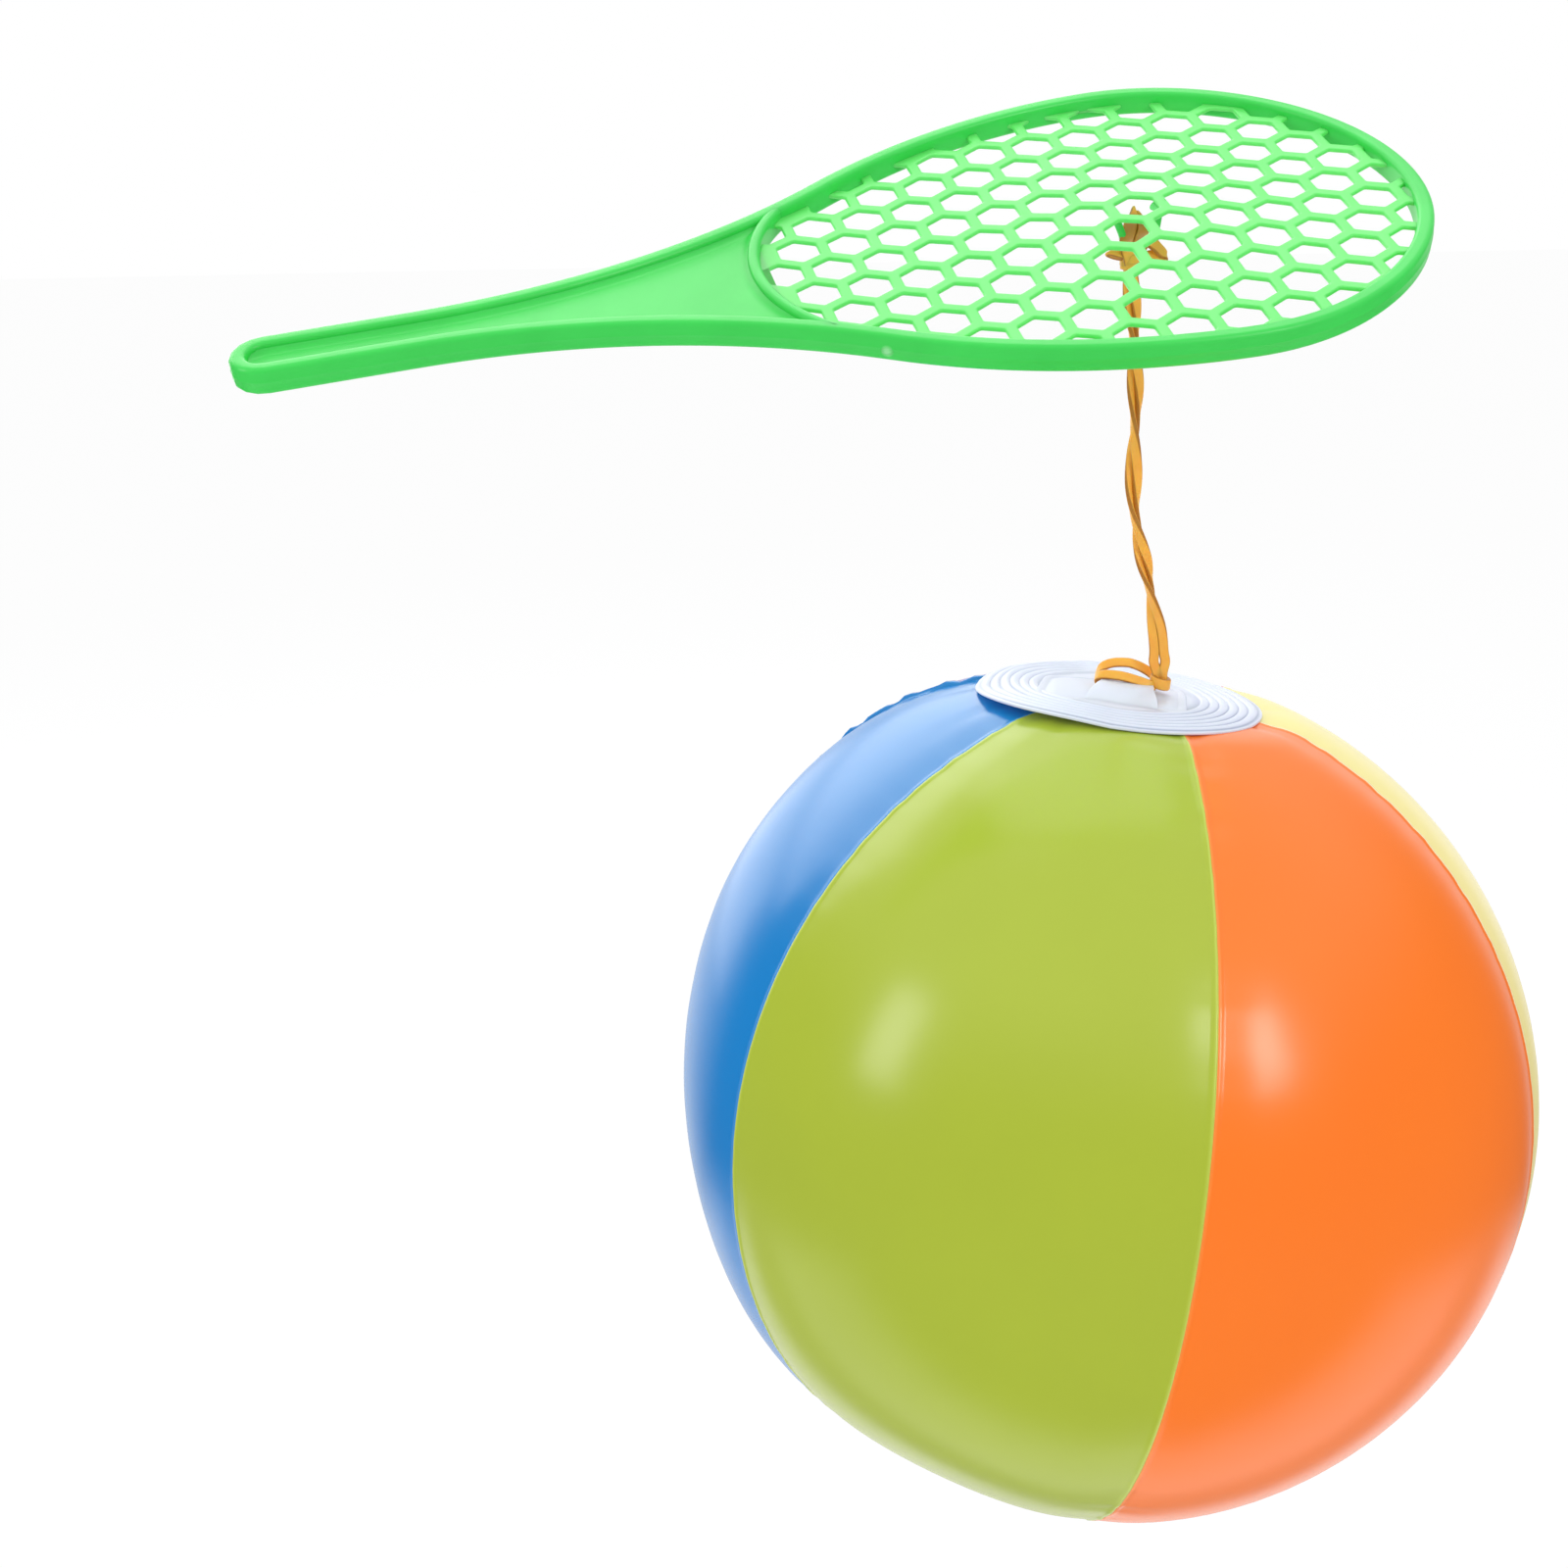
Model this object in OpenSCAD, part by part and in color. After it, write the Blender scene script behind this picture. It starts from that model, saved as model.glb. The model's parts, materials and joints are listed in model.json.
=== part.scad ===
// Beach paddle with a beach ball on a rubber band.
// A hand holds the handle, the ball hangs straight down, and +Z is up.
// The origin is the middle of the grip, and +X runs from there towards the head.

/* [Hold] */
// Nose-up pitch of the handle in the hand, in degrees
hold_pitch = 8; // [0:0.5:12]
// Roll about the handle that brings the near edge of the head down, in degrees
hold_roll = 22.5; // [0:0.5:24]

/* [Paddle outline] */
// Width across the head
head_w = 101; // [92:1:112]
// Radius of the shoulders that narrow the head towards the handle
shoulder_r = 113; // [105:1:122]
// Radius of the flare between the handle and the shoulders
flare_r = 150; // [140:1:160]
// Width of the handle
handle_w = 13; // [12:0.5:18]
// Distance from the middle of the grip to the tip
reach = 180; // [172:0.5:190]
// Distance from the middle of the grip to the butt
butt_l = 50; // [40:1:60]
// Distance from the middle of the grip to the nose bar that closes the head
nose_at = 48; // [44:1:52]
// Radius of the nose bar
nose_r = 38; // [34:1:42]

/* [Rim and web] */
// Thickness of the rim seen from above
rim_w = 3.2; // [3:0.1:4]
// Height of the rim
rim_h = 5.4; // [5:0.1:6.2]
// Radius on the rim's long edges
rim_round = 1; // [0.6:0.1:1.3]
// Thickness of the nose bar seen from above
nose_w = 2.4; // [2.2:0.1:3]
// Thickness of the web between the handle's beads
web_t = 1.6; // [1.4:0.1:2.2]

/* [Honeycomb] */
// Pitch from cell to cell
cell_pitch = 10; // [9:0.1:12]
// Width of the bars between the cells
bar_w = 2.5; // [2:0.1:3]
// Thickness of the honeycomb
grid_t = 1.1; // [0.9:0.1:1.5]
// How far past the rim's inner wall the middle of an outermost cut cell may lie
cell_past = 2; // [0:0.5:3]
// Depth of the honeycomb's top below the top of the rim
grid_drop = 1.3; // [1.2:0.1:2]

/* [Hook] */
// Distance from the middle of the grip to the hook
hook_x = 124; // [120:1:128]
// Depth of the hook's bar below the honeycomb
hook_drop = 5.4; // [4.6:0.1:6.2]
// Distance between the middles of the hook's two posts
hook_l = 8.4; // [8:0.1:9.4]
// How far the middle of the hook lies past the band, towards the tip
hook_past = 0.5; // [0:0.1:0.6]
// Radius of the hook's bar
hook_r = 1; // [0.9:0.05:1.2]
// Radius of the hook's two posts where they leave the honeycomb
post_r = 1.2; // [1:0.05:1.4]

/* [Rubber band] */
// Width of one flat strand
strand_w = 2.4; // [2:0.1:2.8]
// Thickness of one flat strand
strand_t = 1; // [0.8:0.05:1.1]
// Turns that the two strands make round each other
twist_turns = 2.5; // [1:0.5:4]
// Gap between the band and the hook's bar
band_gap = 0.3; // [0.3:0.05:0.5]

/* [Ball] */
// Diameter of the inflated ball
ball_d = 184; // [170:1:190]
// Distance from the hook's bar to the middle of the ball
hang_l = 180; // [175:1:200]
// Lean of the ball's axis to the right, in degrees
ball_lean = 6; // [0:1:8]
// Thickness of the vinyl film
film_t = 0.3; // [0.25:0.05:0.5]
// Number of panels round the ball
panels = 6; // [6:1:6]
// Turn of the first seam about the ball's axis, in degrees
seam_turn = 201.5; // [190:0.5:215]
// Radius of the flat that the end discs lie on
flat_r = 27; // [24:0.5:30]
// Radius of the hole that the panels leave at each end
end_hole_r = 6; // [4:0.5:10]

/* [End discs] */
// Turn of the lug and its disc about the ball's axis, in degrees
lug_turn = -19; // [-30:0.5:0]
// Diameter of the white end discs
disc_d = 58; // [54:1:62]
// Thickness of the end discs
disc_t = 0.8; // [0.6:0.05:1.2]
// Distance of the top disc from the ball's axis
disc_offset = 8.4; // [8:0.1:9]
// Number of rings pressed into each disc
disc_rings = 6; // [3:1:8]
// Spacing of the rings
ring_step = 1.8; // [1.6:0.1:2.2]
// Radius of each ring's bead
ring_r = 0.45; // [0.3:0.05:0.6]

/* [Lug] */
// How far the lug lies from the middle of its disc towards the ball's axis
lug_past = 0.5; // [0:0.1:0.6]
// Length of the lug's patch
patch_l = 27; // [25:0.5:30]
// Width of the lug's patch
patch_w = 24; // [20:0.5:26]
// Thickness of the lug's sheet
lug_t = 0.7; // [0.6:0.05:0.8]
// Length of the bridge's crest, which the band is hitched to
bridge_l = 9.6; // [9:0.1:9.8]
// Length of the bridge at its two feet
foot_l = 15; // [12:0.5:15]
// Width of the bridge at its feet
bridge_w = 16; // [14:0.5:18]
// Height of the bridge above the patch
bridge_h = 2.6; // [2.5:0.1:3.4]

/* [Valve] */
// Latitude of the valve on its panel, in degrees
valve_lat = 25; // [0:1:40]
// Radius of the flange that is welded to the panel
flange_r = 11; // [9:0.5:14]
// Thickness of the flange
flange_t = 0.6; // [0.4:0.05:1]
// Outer radius of the stem
stem_r = 4.5; // [4:0.1:5.5]
// Radius of the stem's bore
bore_r = 3; // [2.5:0.1:3.4]
// Height of the stem above the ball
stem_h = 8; // [6:0.5:10]
// Depth of the stem below the film
stem_in = 3; // [2:0.5:5]
// Gap between the plug's spigot and the bore
plug_gap = 0.1; // [0.08:0.01:0.15]
// Length of the plug's spigot
spigot_l = 6.5; // [4:0.5:8]
// Radius of the plug's head
plug_r = 5.5; // [5:0.1:7]
// Thickness of the plug's head
plug_t = 2.2; // [1.5:0.1:3]

/* [Hidden] */
$fn = 64;

green = [0.20, 0.80, 0.32];
leaf_green = [0.40, 0.90, 0.42];
latex = [0.96, 0.62, 0.18];
white = [0.92, 0.93, 0.96];

// Paddle outline: a tip arc, then shoulders, flares and the straight handle, each tangent to the next
tip_r = head_w / 2;
tip_x = reach - tip_r;
shoulder_y = shoulder_r - tip_r;
neck_turn = acos(1 - (tip_r - handle_w / 2) / (shoulder_r + flare_r));
flare_x = tip_x - (shoulder_r + flare_r) * sin(neck_turn);
flare_y = handle_w / 2 + flare_r;
butt_x = -butt_l + handle_w / 2;
arc_step = 3;
wall_slip = 0.03;

// The nose bar ends in the middle of the two beads
nose_x = nose_at + nose_r;
nose_mid = nose_r - nose_w / 2;
bead_mid = flare_r + rim_w / 2;
nose_to_flare = norm([flare_x - nose_x, flare_y]);
nose_turn = atan2(flare_y, flare_x - nose_x)
    + acos((nose_mid ^ 2 + nose_to_flare ^ 2 - bead_mid ^ 2) / (2 * nose_mid * nose_to_flare));

grid_top = rim_h / 2 - grid_drop;
grid_low = grid_top - grid_t;
hook_z = grid_low - hook_drop;
row_step = cell_pitch * sqrt(3) / 2;
cell_r = (cell_pitch - bar_w) / sqrt(3);

// Where the band hangs on the hook's bar: nearer to its low end, since the nose is held up
hook_c = from_paddle([hook_x, 0, hook_z]);
ball_r = ball_d / 2;
ball_c = hook_c - [0, 0, hang_l];
flat_h = sqrt(ball_r ^ 2 - flat_r ^ 2);
panel_angle = 360 / panels;
disc_r = disc_d / 2;

// Heights above the top disc's own top face, in the ball's frame
patch_top = lug_t;
bridge_top = patch_top + bridge_h;
bridge_r = ((bridge_w / 2) ^ 2 + bridge_h ^ 2) / (2 * bridge_h);
disc_x = -disc_offset;
lug_x = disc_x + lug_past;
lug_z = flat_h + disc_t;
hitch_gap = 0.3;
back_leg_rise = 1.4;
leg_y = 1.9;
hitch_half = bridge_l / 2 + (foot_l - bridge_l) / bridge_w * (leg_y + strand_w / 2);
wrap_in = 1.9;
wrap_out = 2.7;
wrap_h = 2.6;
wrap_low = 1.2;
under_z = patch_top + 0.95;
leg_z = bridge_top + hitch_gap + strand_t / 2;
knot_z = lug_z + wrap_low + wrap_h;
knot_c = ball_c + knot_z * [sin(ball_lean), 0, cos(ball_lean)];

// The eye of the band: a loop round the bar with a knot under it
eye_in = hook_r + band_gap;
eye_out = eye_in + strand_t;
eye_w = hook_l - 2 * (hook_past + post_r + band_gap);
eye_knot_r = 2;
eye_knot_l = 3.4;
bight_l = 7;
bight_drop = 2;
eye_low = eye_in + eye_knot_l;
swing_c = hook_c - [0, 0, eye_low];
strand_gap = 0.6;
neck_l = 9;
neck_spigot_r = 1.2;
tuck = 1.6;

// The band's line from the eye to the neck: how far it bows to the right at each share of its length
strand_from = swing_c - [0, 0, strand_gap];
strand_to = knot_c + [-1.4, 0, neck_l];
bow = [
    [0, 0], [0.15, 0.1], [0.34, 0.19], [0.5, 0.21], [0.62, 0.25],
    [0.7, 0.38], [0.79, 0.58], [0.9, 0.83], [1, 1]
];
strand_rings = 40;
twist_r = 1;

// A point of the paddle's own frame, turned as the hand holds it
function from_paddle(p) =
    let (y = p.y * cos(hold_roll) - p.z * sin(hold_roll))
    let (z = p.y * sin(hold_roll) + p.z * cos(hold_roll))
    [p.x * cos(hold_pitch) - z * sin(hold_pitch), y, p.x * sin(hold_pitch) + z * cos(hold_pitch)];

function arc(c, r, from, to) =
    let (steps = ceil(abs(to - from) / arc_step))
    [for (k = [0:steps]) let (q = from + (to - from) * k / steps) c + r * [cos(q), sin(q)]];

// The outline of the head and the flares, moved inwards by inset
function head_outline(inset) = concat(
    arc([tip_x, 0], tip_r - inset, -90, 90),
    arc([tip_x, -shoulder_y], shoulder_r - inset, 90, 90 + neck_turn),
    arc([flare_x, flare_y], flare_r + inset, -90 + neck_turn, -90),
    arc([flare_x, -flare_y], flare_r + inset, 90, 90 - neck_turn),
    arc([tip_x, shoulder_y], shoulder_r - inset, 270 - neck_turn, 270)
);

// Half the head's width at a place along the handle
function head_half(x) =
    x > tip_x ? sqrt(max(0, tip_r ^ 2 - (x - tip_x) ^ 2))
    : sqrt(max(0, shoulder_r ^ 2 - (tip_x - x) ^ 2)) - shoulder_y;

function unit(v) = v / norm(v);

// Six points round a flat strand: width along side, thickness along face
function strand_section(c, side, face, w, t) = [
    for (k = [0:5]) c + side * (w / 2 * cos(60 * k)) + face * (t / 2 * sin(60 * k) / sin(60))
];

function ease(x) = x * x * (3 - 2 * x);

module on_paddle() {
    rotate([hold_roll, -hold_pitch, 0]) children();
}

module on_ball() {
    translate(ball_c) rotate([0, ball_lean, 0]) children();
}

// The end of the ball with the lug, turned about the axis so that the lug faces as it hangs
module on_lug_end() {
    on_ball() rotate([0, 0, lug_turn]) children();
}

module on_lug() {
    on_lug_end() translate([lug_x, 0, lug_z]) children();
}

module on_valve() {
    on_ball() rotate([0, 0, seam_turn + 4.5 * panel_angle]) rotate([0, 90 - valve_lat, 0]) children();
}

// Section of the rim, of the beads and of the nose bar, with its inner face at x = 0
module rim_section(w = rim_w) {
    flat_w = w - 2 * rim_round;
    flat_z = rim_h - 2 * rim_round;
    translate([rim_round, -rim_h / 2]) square([flat_w, rim_h]);
    translate([0, -flat_z / 2]) square([w, flat_z]);
    for (x = [rim_round, w - rim_round], z = [-flat_z / 2, flat_z / 2]) {
        translate([x, z]) circle(rim_round);
    }
}

// The section carried round an arc of outer radius r
module rim_arc(x, y, r, from, sweep, w = rim_w) {
    translate([x, y, 0]) rotate([0, 0, from])
        rotate_extrude(angle = sweep) translate([r - w, 0]) rim_section(w);
}

// A flat strand through a list of points, with the direction of its width at each
module strand(points, sides, w, t) {
    n = len(points);
    rings = [
        for (k = [0:n - 1])
            let (along = unit(points[min(k + 1, n - 1)] - points[max(k - 1, 0)]))
            let (side = unit(sides[k] - along * (sides[k] * along)))
            strand_section(points[k], side, cross(along, side), w, t)
    ];
    last = 6 * (n - 1);
    walls = [
        for (k = [0:6:last - 6], j = [0:5])
            let (i = (j + 1) % 6)
            each [[k + j, k + 6 + i, k + i], [k + j, k + 6 + j, k + 6 + i]]
    ];
    ends = [for (j = [1:4]) each [[0, j, j + 1], [last, last + j + 1, last + j]]];
    polyhedron(points = [for (r = rings) each r], faces = concat(walls, ends), convexity = 6);
}

// The rim round the tip and both shoulders
module head_rim() {
    color(green) on_paddle() {
        rim_arc(tip_x, 0, tip_r, -90, 180);
        rim_arc(tip_x, -shoulder_y, shoulder_r, 90, neck_turn);
        mirror([0, 1, 0]) rim_arc(tip_x, -shoulder_y, shoulder_r, 90, neck_turn);
    }
}

// Outline of the web, which reaches half-way into the beads and the nose bar
module web_outline() {
    half = (handle_w - rim_w) / 2;
    difference() {
        polygon(concat(
            arc([butt_x, 0], half, 90, 270),
            arc([flare_x, -flare_y], bead_mid, 90, 90 - neck_turn),
            arc([flare_x, flare_y], bead_mid, -90 + neck_turn, -90)
        ));
        translate([nose_x, 0]) circle(nose_mid);
        translate([nose_x - nose_r / 2, -head_w]) square(2 * head_w);
    }
}

module handle_bead() {
    translate([butt_x, handle_w / 2 - rim_w, 0]) rotate([90, 0, 90])
        linear_extrude(flare_x - butt_x) rim_section();
    translate([flare_x, flare_y, 0]) rotate([0, 0, -90])
        rotate_extrude(angle = neck_turn) translate([flare_r, 0]) rim_section();
}

// The handle: a bead all round it, a thin web inside and the nose bar across its wide end
module handle_frame() {
    color(green) on_paddle() {
        rim_arc(butt_x, 0, handle_w / 2, 90, 180);
        handle_bead();
        mirror([0, 1, 0]) handle_bead();
        rim_arc(nose_x, 0, nose_r, nose_turn, 360 - 2 * nose_turn, nose_w);
        translate([0, 0, -web_t / 2]) linear_extrude(web_t) web_outline();
    }
}

// The cells, counted from the one over the hook, with the outermost ones cut off by the rim
module cells() {
    rows = ceil(tip_r / row_step);
    columns = ceil(reach / cell_pitch);
    for (row = [-rows:rows], column = [-columns:columns]) {
        x = hook_x + (column + (row % 2 == 0 ? 0 : 0.5)) * cell_pitch;
        y = row * row_step;
        past_nose = x > nose_x || norm([x - nose_x, y]) < nose_r - nose_w + cell_past;
        if (past_nose && abs(y) < head_half(x) - rim_w + cell_past) {
            translate([x, y]) rotate(30) circle(cell_r, $fn = 6);
        }
    }
}

module honeycomb_face() {
    color(leaf_green) on_paddle() translate([0, 0, grid_low]) linear_extrude(grid_t) difference() {
        intersection() {
            polygon(head_outline(rim_w + wall_slip));
            union() {
                translate([nose_x, 0]) circle(nose_r - nose_w - wall_slip);
                translate([nose_x - nose_r / 3, -head_w]) square(2 * head_w);
            }
        }
        cells();
    }
}

module band_hook() {
    color(green) on_paddle() translate([hook_x + hook_past, 0, hook_z]) {
        for (end = [-1, 1]) translate([end * hook_l / 2, 0, 0]) {
            cylinder(h = hook_drop, r1 = hook_r, r2 = post_r);
            sphere(hook_r);
        }
        translate([-hook_l / 2, 0, 0]) rotate([0, 90, 0]) cylinder(h = hook_l, r = hook_r);
    }
}

// The short doubled end that sticks out of the eye's knot on one side
module bight(side) {
    root = hook_c - [0, 0, eye_in + eye_knot_l / 2];
    points = [for (u = [0:0.25:1]) root + [side * bight_l * u, -side * u, -bight_drop * ease(u)]];
    strand(points, [for (p = points) [0, 1, 0]], strand_w, 2 * strand_t);
}

module band_eye() {
    color(latex) {
        on_paddle() translate([hook_x, 0, hook_z]) rotate([0, 90, 0]) difference() {
            cylinder(h = eye_w, r = eye_out, center = true);
            cylinder(h = 2 * eye_w, r = eye_in, center = true);
        }
        difference() {
            translate(swing_c) cylinder(h = eye_knot_l, r = eye_knot_r);
            on_paddle() translate([hook_x, 0, hook_z]) rotate([0, 90, 0])
                cylinder(h = 2 * eye_w, r = eye_in, center = true);
        }
        bight(-1);
        bight(1);
    }
}

// Middle of the twisted pair at a share of its length, bowed as the band hangs
function band_line(u) =
    let (line = strand_to - strand_from)
    strand_from + [line.x * lookup(u, bow), line.y * u, line.z * u];

// The strands close up at both ends of the twist
function twist_open(u) = twist_r * (0.5 + 0.5 * ease(min(1, 8 * min(u, 1 - u))));

module band_strands() {
    color(latex) for (half = [0, 180]) {
        shares = [for (k = [0:strand_rings]) k / strand_rings];
        turns = [for (u = shares) half + 360 * twist_turns * u];
        points = [
            for (k = [0:strand_rings])
                band_line(shares[k]) + twist_open(shares[k]) * [cos(turns[k]), sin(turns[k]), 0]
        ];
        taper = 0.8;
        strand(points, [for (q = turns) [-sin(q), cos(q), 0]], taper * strand_w, taper * strand_t);
    }
}

// The last of the two strands, side by side, down to the round end that the hitch turns on
module band_neck() {
    color(latex) {
        top = strand_to - [0, 0, strand_gap];
        foot = knot_c - [0, 0, tuck];
        for (side = [-1, 1]) {
            points = [
                for (u = [0:0.2:1])
                    top + (knot_c - top) * u + [side * (strand_w / 2 * (1 - ease(u)) + 0.4 * ease(u)), 0, 0]
            ];
            strand(points, [for (p = points) [1, 0, 0]], 0.9 * strand_w, strand_t);
        }
        translate(foot) cylinder(h = tuck + 1, r = neck_spigot_r);
    }
}

// A girth hitch: under the bridge, round its far end and back over it in two legs to the wrap
module band_hitch() {
    far_x = lug_x - hitch_half - hitch_gap - strand_t / 2;
    near_x = lug_x + bridge_l / 2;
    wrap_mid = wrap_low + wrap_h / 2;
    color(latex) on_lug_end() translate([0, 0, lug_z]) {
        translate([0, 0, wrap_low]) difference() {
            cylinder(h = wrap_h, r = wrap_out);
            translate([0, 0, -wrap_h]) cylinder(h = 3 * wrap_h, r = wrap_in);
        }
        for (side = [-1, 1]) {
            rise = side > 0 ? back_leg_rise : 0;
            points = [
                [-wrap_in, side * 1.3, wrap_mid + 0.5],
                [-wrap_in, side * 1.5, leg_z - 0.2],
                [near_x - 0.5, side * 1.8, leg_z + rise / 2],
                [lug_x, side * 2.2, leg_z + rise],
                [lug_x - bridge_l / 4, side * 2.2, leg_z + 0.8 * rise],
                [far_x + 0.9, side * leg_y, leg_z + 0.1 + rise / 4],
                [far_x - 0.1, side * 1.5, leg_z - 0.9],
                [far_x - 0.2, side * 1.2, under_z]
            ];
            strand(points, [for (p = points) [0, 1, 0]], strand_w, strand_t);
        }
        under = [
            [far_x - strand_t / 2, 0, under_z],
            [lug_x, 0, under_z],
            [near_x, 0, under_z],
            [-wrap_in - strand_t / 2, 0, under_z + 0.25]
        ];
        strand(under, [for (p = under) [0, 1, 0]], 1.4 * strand_w, 1.2 * strand_t);
    }
}

// Half-section of the film: a sphere with a flat at each end
module film_section() {
    difference() {
        intersection() {
            circle(ball_r);
            translate([end_hole_r, -flat_h]) square([ball_r, 2 * flat_h]);
        }
        intersection() {
            circle(ball_r - film_t);
            translate([0, -flat_h + film_t]) square([ball_r, 2 * (flat_h - film_t)]);
        }
    }
}

module panel(count, tint) {
    color(tint) on_ball() rotate([0, 0, seam_turn + count * panel_angle])
        rotate_extrude(angle = panel_angle) film_section();
}

module panel_blue() {
    panel(-1, [0.10, 0.48, 0.80]);
}

module panel_lime() {
    panel(0, [0.68, 0.76, 0.26]);
}

module panel_orange() {
    panel(1, [1.0, 0.47, 0.13]);
}

module panel_yellow() {
    panel(2, [0.97, 0.88, 0.35]);
}

module panel_red() {
    panel(3, [0.88, 0.16, 0.18]);
}

// The panel with the valve has a hole for its stem
module panel_violet() {
    difference() {
        panel(4, [0.42, 0.26, 0.62]);
        on_valve() cylinder(h = 2 * ball_r, r = stem_r);
    }
}

// A flat disc with rings pressed into its top
module disc() {
    cylinder(h = disc_t, r = disc_r);
    for (k = [1:disc_rings]) {
        rotate_extrude() translate([disc_r - k * ring_step, disc_t]) intersection() {
            circle(ring_r);
            translate([-ring_r, 0]) square(2 * ring_r);
        }
    }
}

module top_disc() {
    color(white) on_lug_end() translate([disc_x, 0, flat_h]) disc();
}

module bottom_disc() {
    color(white) on_ball() mirror([0, 0, 1]) translate([0, 0, flat_h]) disc();
}

// A patch on the top disc with a bridge across it, open at both ends and narrowest at its crest
module lug_strap() {
    color(white) on_lug() {
        translate([-patch_l / 2, -patch_w / 2, 0]) cube([patch_l, patch_w, lug_t]);
        intersection() {
            rotate([90, 0, 90]) linear_extrude(foot_l, center = true) intersection() {
                translate([0, bridge_top - bridge_r]) difference() {
                    circle(bridge_r);
                    circle(bridge_r - lug_t);
                }
                translate([-bridge_w / 2, patch_top / 2]) square([bridge_w, bridge_top]);
            }
            linear_extrude(2 * bridge_top) polygon([
                for (end = [-1, 1], side = [-1, 0, 1])
                    [end * (side == 0 ? bridge_l : foot_l) / 2, -end * side * bridge_w / 2]
            ]);
        }
    }
}

module valve_stem() {
    color(white) on_valve() difference() {
        union() {
            intersection() {
                difference() {
                    sphere(ball_r + flange_t);
                    sphere(ball_r);
                }
                cylinder(h = 2 * ball_r, r = flange_r);
            }
            translate([0, 0, ball_r - stem_in]) cylinder(h = stem_in + stem_h, r = stem_r);
        }
        cylinder(h = 2 * ball_r, r = bore_r);
    }
}

module valve_plug() {
    color(white) on_valve() translate([0, 0, ball_r + stem_h]) {
        translate([0, 0, -spigot_l]) cylinder(h = spigot_l, r = bore_r - plug_gap);
        cylinder(h = plug_t, r = plug_r);
    }
}

head_rim();
handle_frame();
honeycomb_face();
band_hook();
band_eye();
band_strands();
band_neck();
band_hitch();
panel_blue();
panel_lime();
panel_orange();
panel_yellow();
panel_red();
panel_violet();
top_disc();
bottom_disc();
lug_strap();
valve_stem();
valve_plug();
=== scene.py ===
"""Beach paddle with a beach ball on a rubber band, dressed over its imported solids.

Sizes are in millimetres and angles in degrees until a mesh is made, and meshes are in metres in the frame
of the solids: +Z is up, the origin is the middle of the grip, and +X runs from there towards the head.
"""

from __future__ import annotations

import json
import logging
import math
from dataclasses import dataclass, field, replace
from enum import Enum

import bmesh
import bpy
import numpy as np
from bpy.types import Material, Node, NodeSocket, NodeTree, Object
from mathutils import Matrix

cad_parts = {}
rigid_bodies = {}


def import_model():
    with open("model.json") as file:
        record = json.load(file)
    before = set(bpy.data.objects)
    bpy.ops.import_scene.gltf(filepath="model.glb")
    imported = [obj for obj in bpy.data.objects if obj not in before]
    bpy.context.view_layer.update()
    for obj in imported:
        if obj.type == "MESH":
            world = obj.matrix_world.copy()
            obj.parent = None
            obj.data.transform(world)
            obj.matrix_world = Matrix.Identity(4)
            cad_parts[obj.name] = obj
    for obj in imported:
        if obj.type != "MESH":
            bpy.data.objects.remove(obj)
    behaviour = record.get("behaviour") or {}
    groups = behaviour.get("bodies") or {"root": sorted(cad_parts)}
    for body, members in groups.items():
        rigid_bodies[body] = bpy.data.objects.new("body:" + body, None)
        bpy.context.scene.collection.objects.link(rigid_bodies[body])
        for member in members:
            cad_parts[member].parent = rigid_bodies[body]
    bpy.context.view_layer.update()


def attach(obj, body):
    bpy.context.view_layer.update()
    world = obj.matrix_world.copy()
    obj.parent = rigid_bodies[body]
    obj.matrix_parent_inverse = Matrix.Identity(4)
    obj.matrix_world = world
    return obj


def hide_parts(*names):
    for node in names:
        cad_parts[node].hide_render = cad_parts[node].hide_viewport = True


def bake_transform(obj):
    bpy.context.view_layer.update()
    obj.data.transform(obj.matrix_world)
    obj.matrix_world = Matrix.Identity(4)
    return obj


Array = np.ndarray
Pair = tuple[float, float]
Triple = tuple[float, float, float]
LOG = logging.getLogger("beach_paddle")
MM = 0.001
IMAGE_SIDE = 1600
# Distance under which points are one, and under which an edge has no length, in metres
MERGE_M = 1e-6
SLIVER_M = 2e-7
# Angle between faces from which an edge is shaded sharp
SHARP_ANGLE = 42.0
# Distance under which places are the same, in millimetres
TOUCH = 1e-6
# Steps of a curve between two stops, and round a turned or wound shape
STOP_STEPS = 40
TURN_STEPS = 64
# A flat strip's corner as a share of its thickness, and the mark on its cut ends
STRIP_ROUND = 0.36
CUT_END_MARK = 0.6
RIGHT, BACK, UP = np.eye(3)


class Body(str, Enum):
    """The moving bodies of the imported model."""

    PADDLE = "paddle"
    EYE = "eye"
    STRANDS = "strands"
    NECK = "neck"
    BALL = "ball"
    PLUG = "plug"


class Slot(str, Enum):
    """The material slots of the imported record."""

    RIM = "rim_plastic"
    GRID = "grid_plastic"
    LATEX = "latex"
    BLUE = "vinyl_blue"
    LIME = "vinyl_lime"
    ORANGE = "vinyl_orange"
    YELLOW = "vinyl_yellow"
    RED = "vinyl_red"
    VIOLET = "vinyl_violet"
    WHITE = "vinyl_white"


class Axis(Enum):
    """A coordinate axis that something turns about."""

    X = 0
    Y = 1
    Z = 2


# Small maths


def linear(hex_code: str) -> tuple[float, float, float, float]:
    """Turns an sRGB hex colour into linear light.

    Args:
        hex_code: six hex digits, such as "41d258".

    Returns:
        Linear red, green and blue, and an alpha of 1.
    """
    values = np.array([int(hex_code[k : k + 2], 16) for k in (0, 2, 4)]) / 255.0
    low = values / 12.92
    high = ((values + 0.055) / 1.055) ** 2.4
    red, green, blue = np.where(values <= 0.04045, low, high)
    return float(red), float(green), float(blue), 1.0


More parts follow.
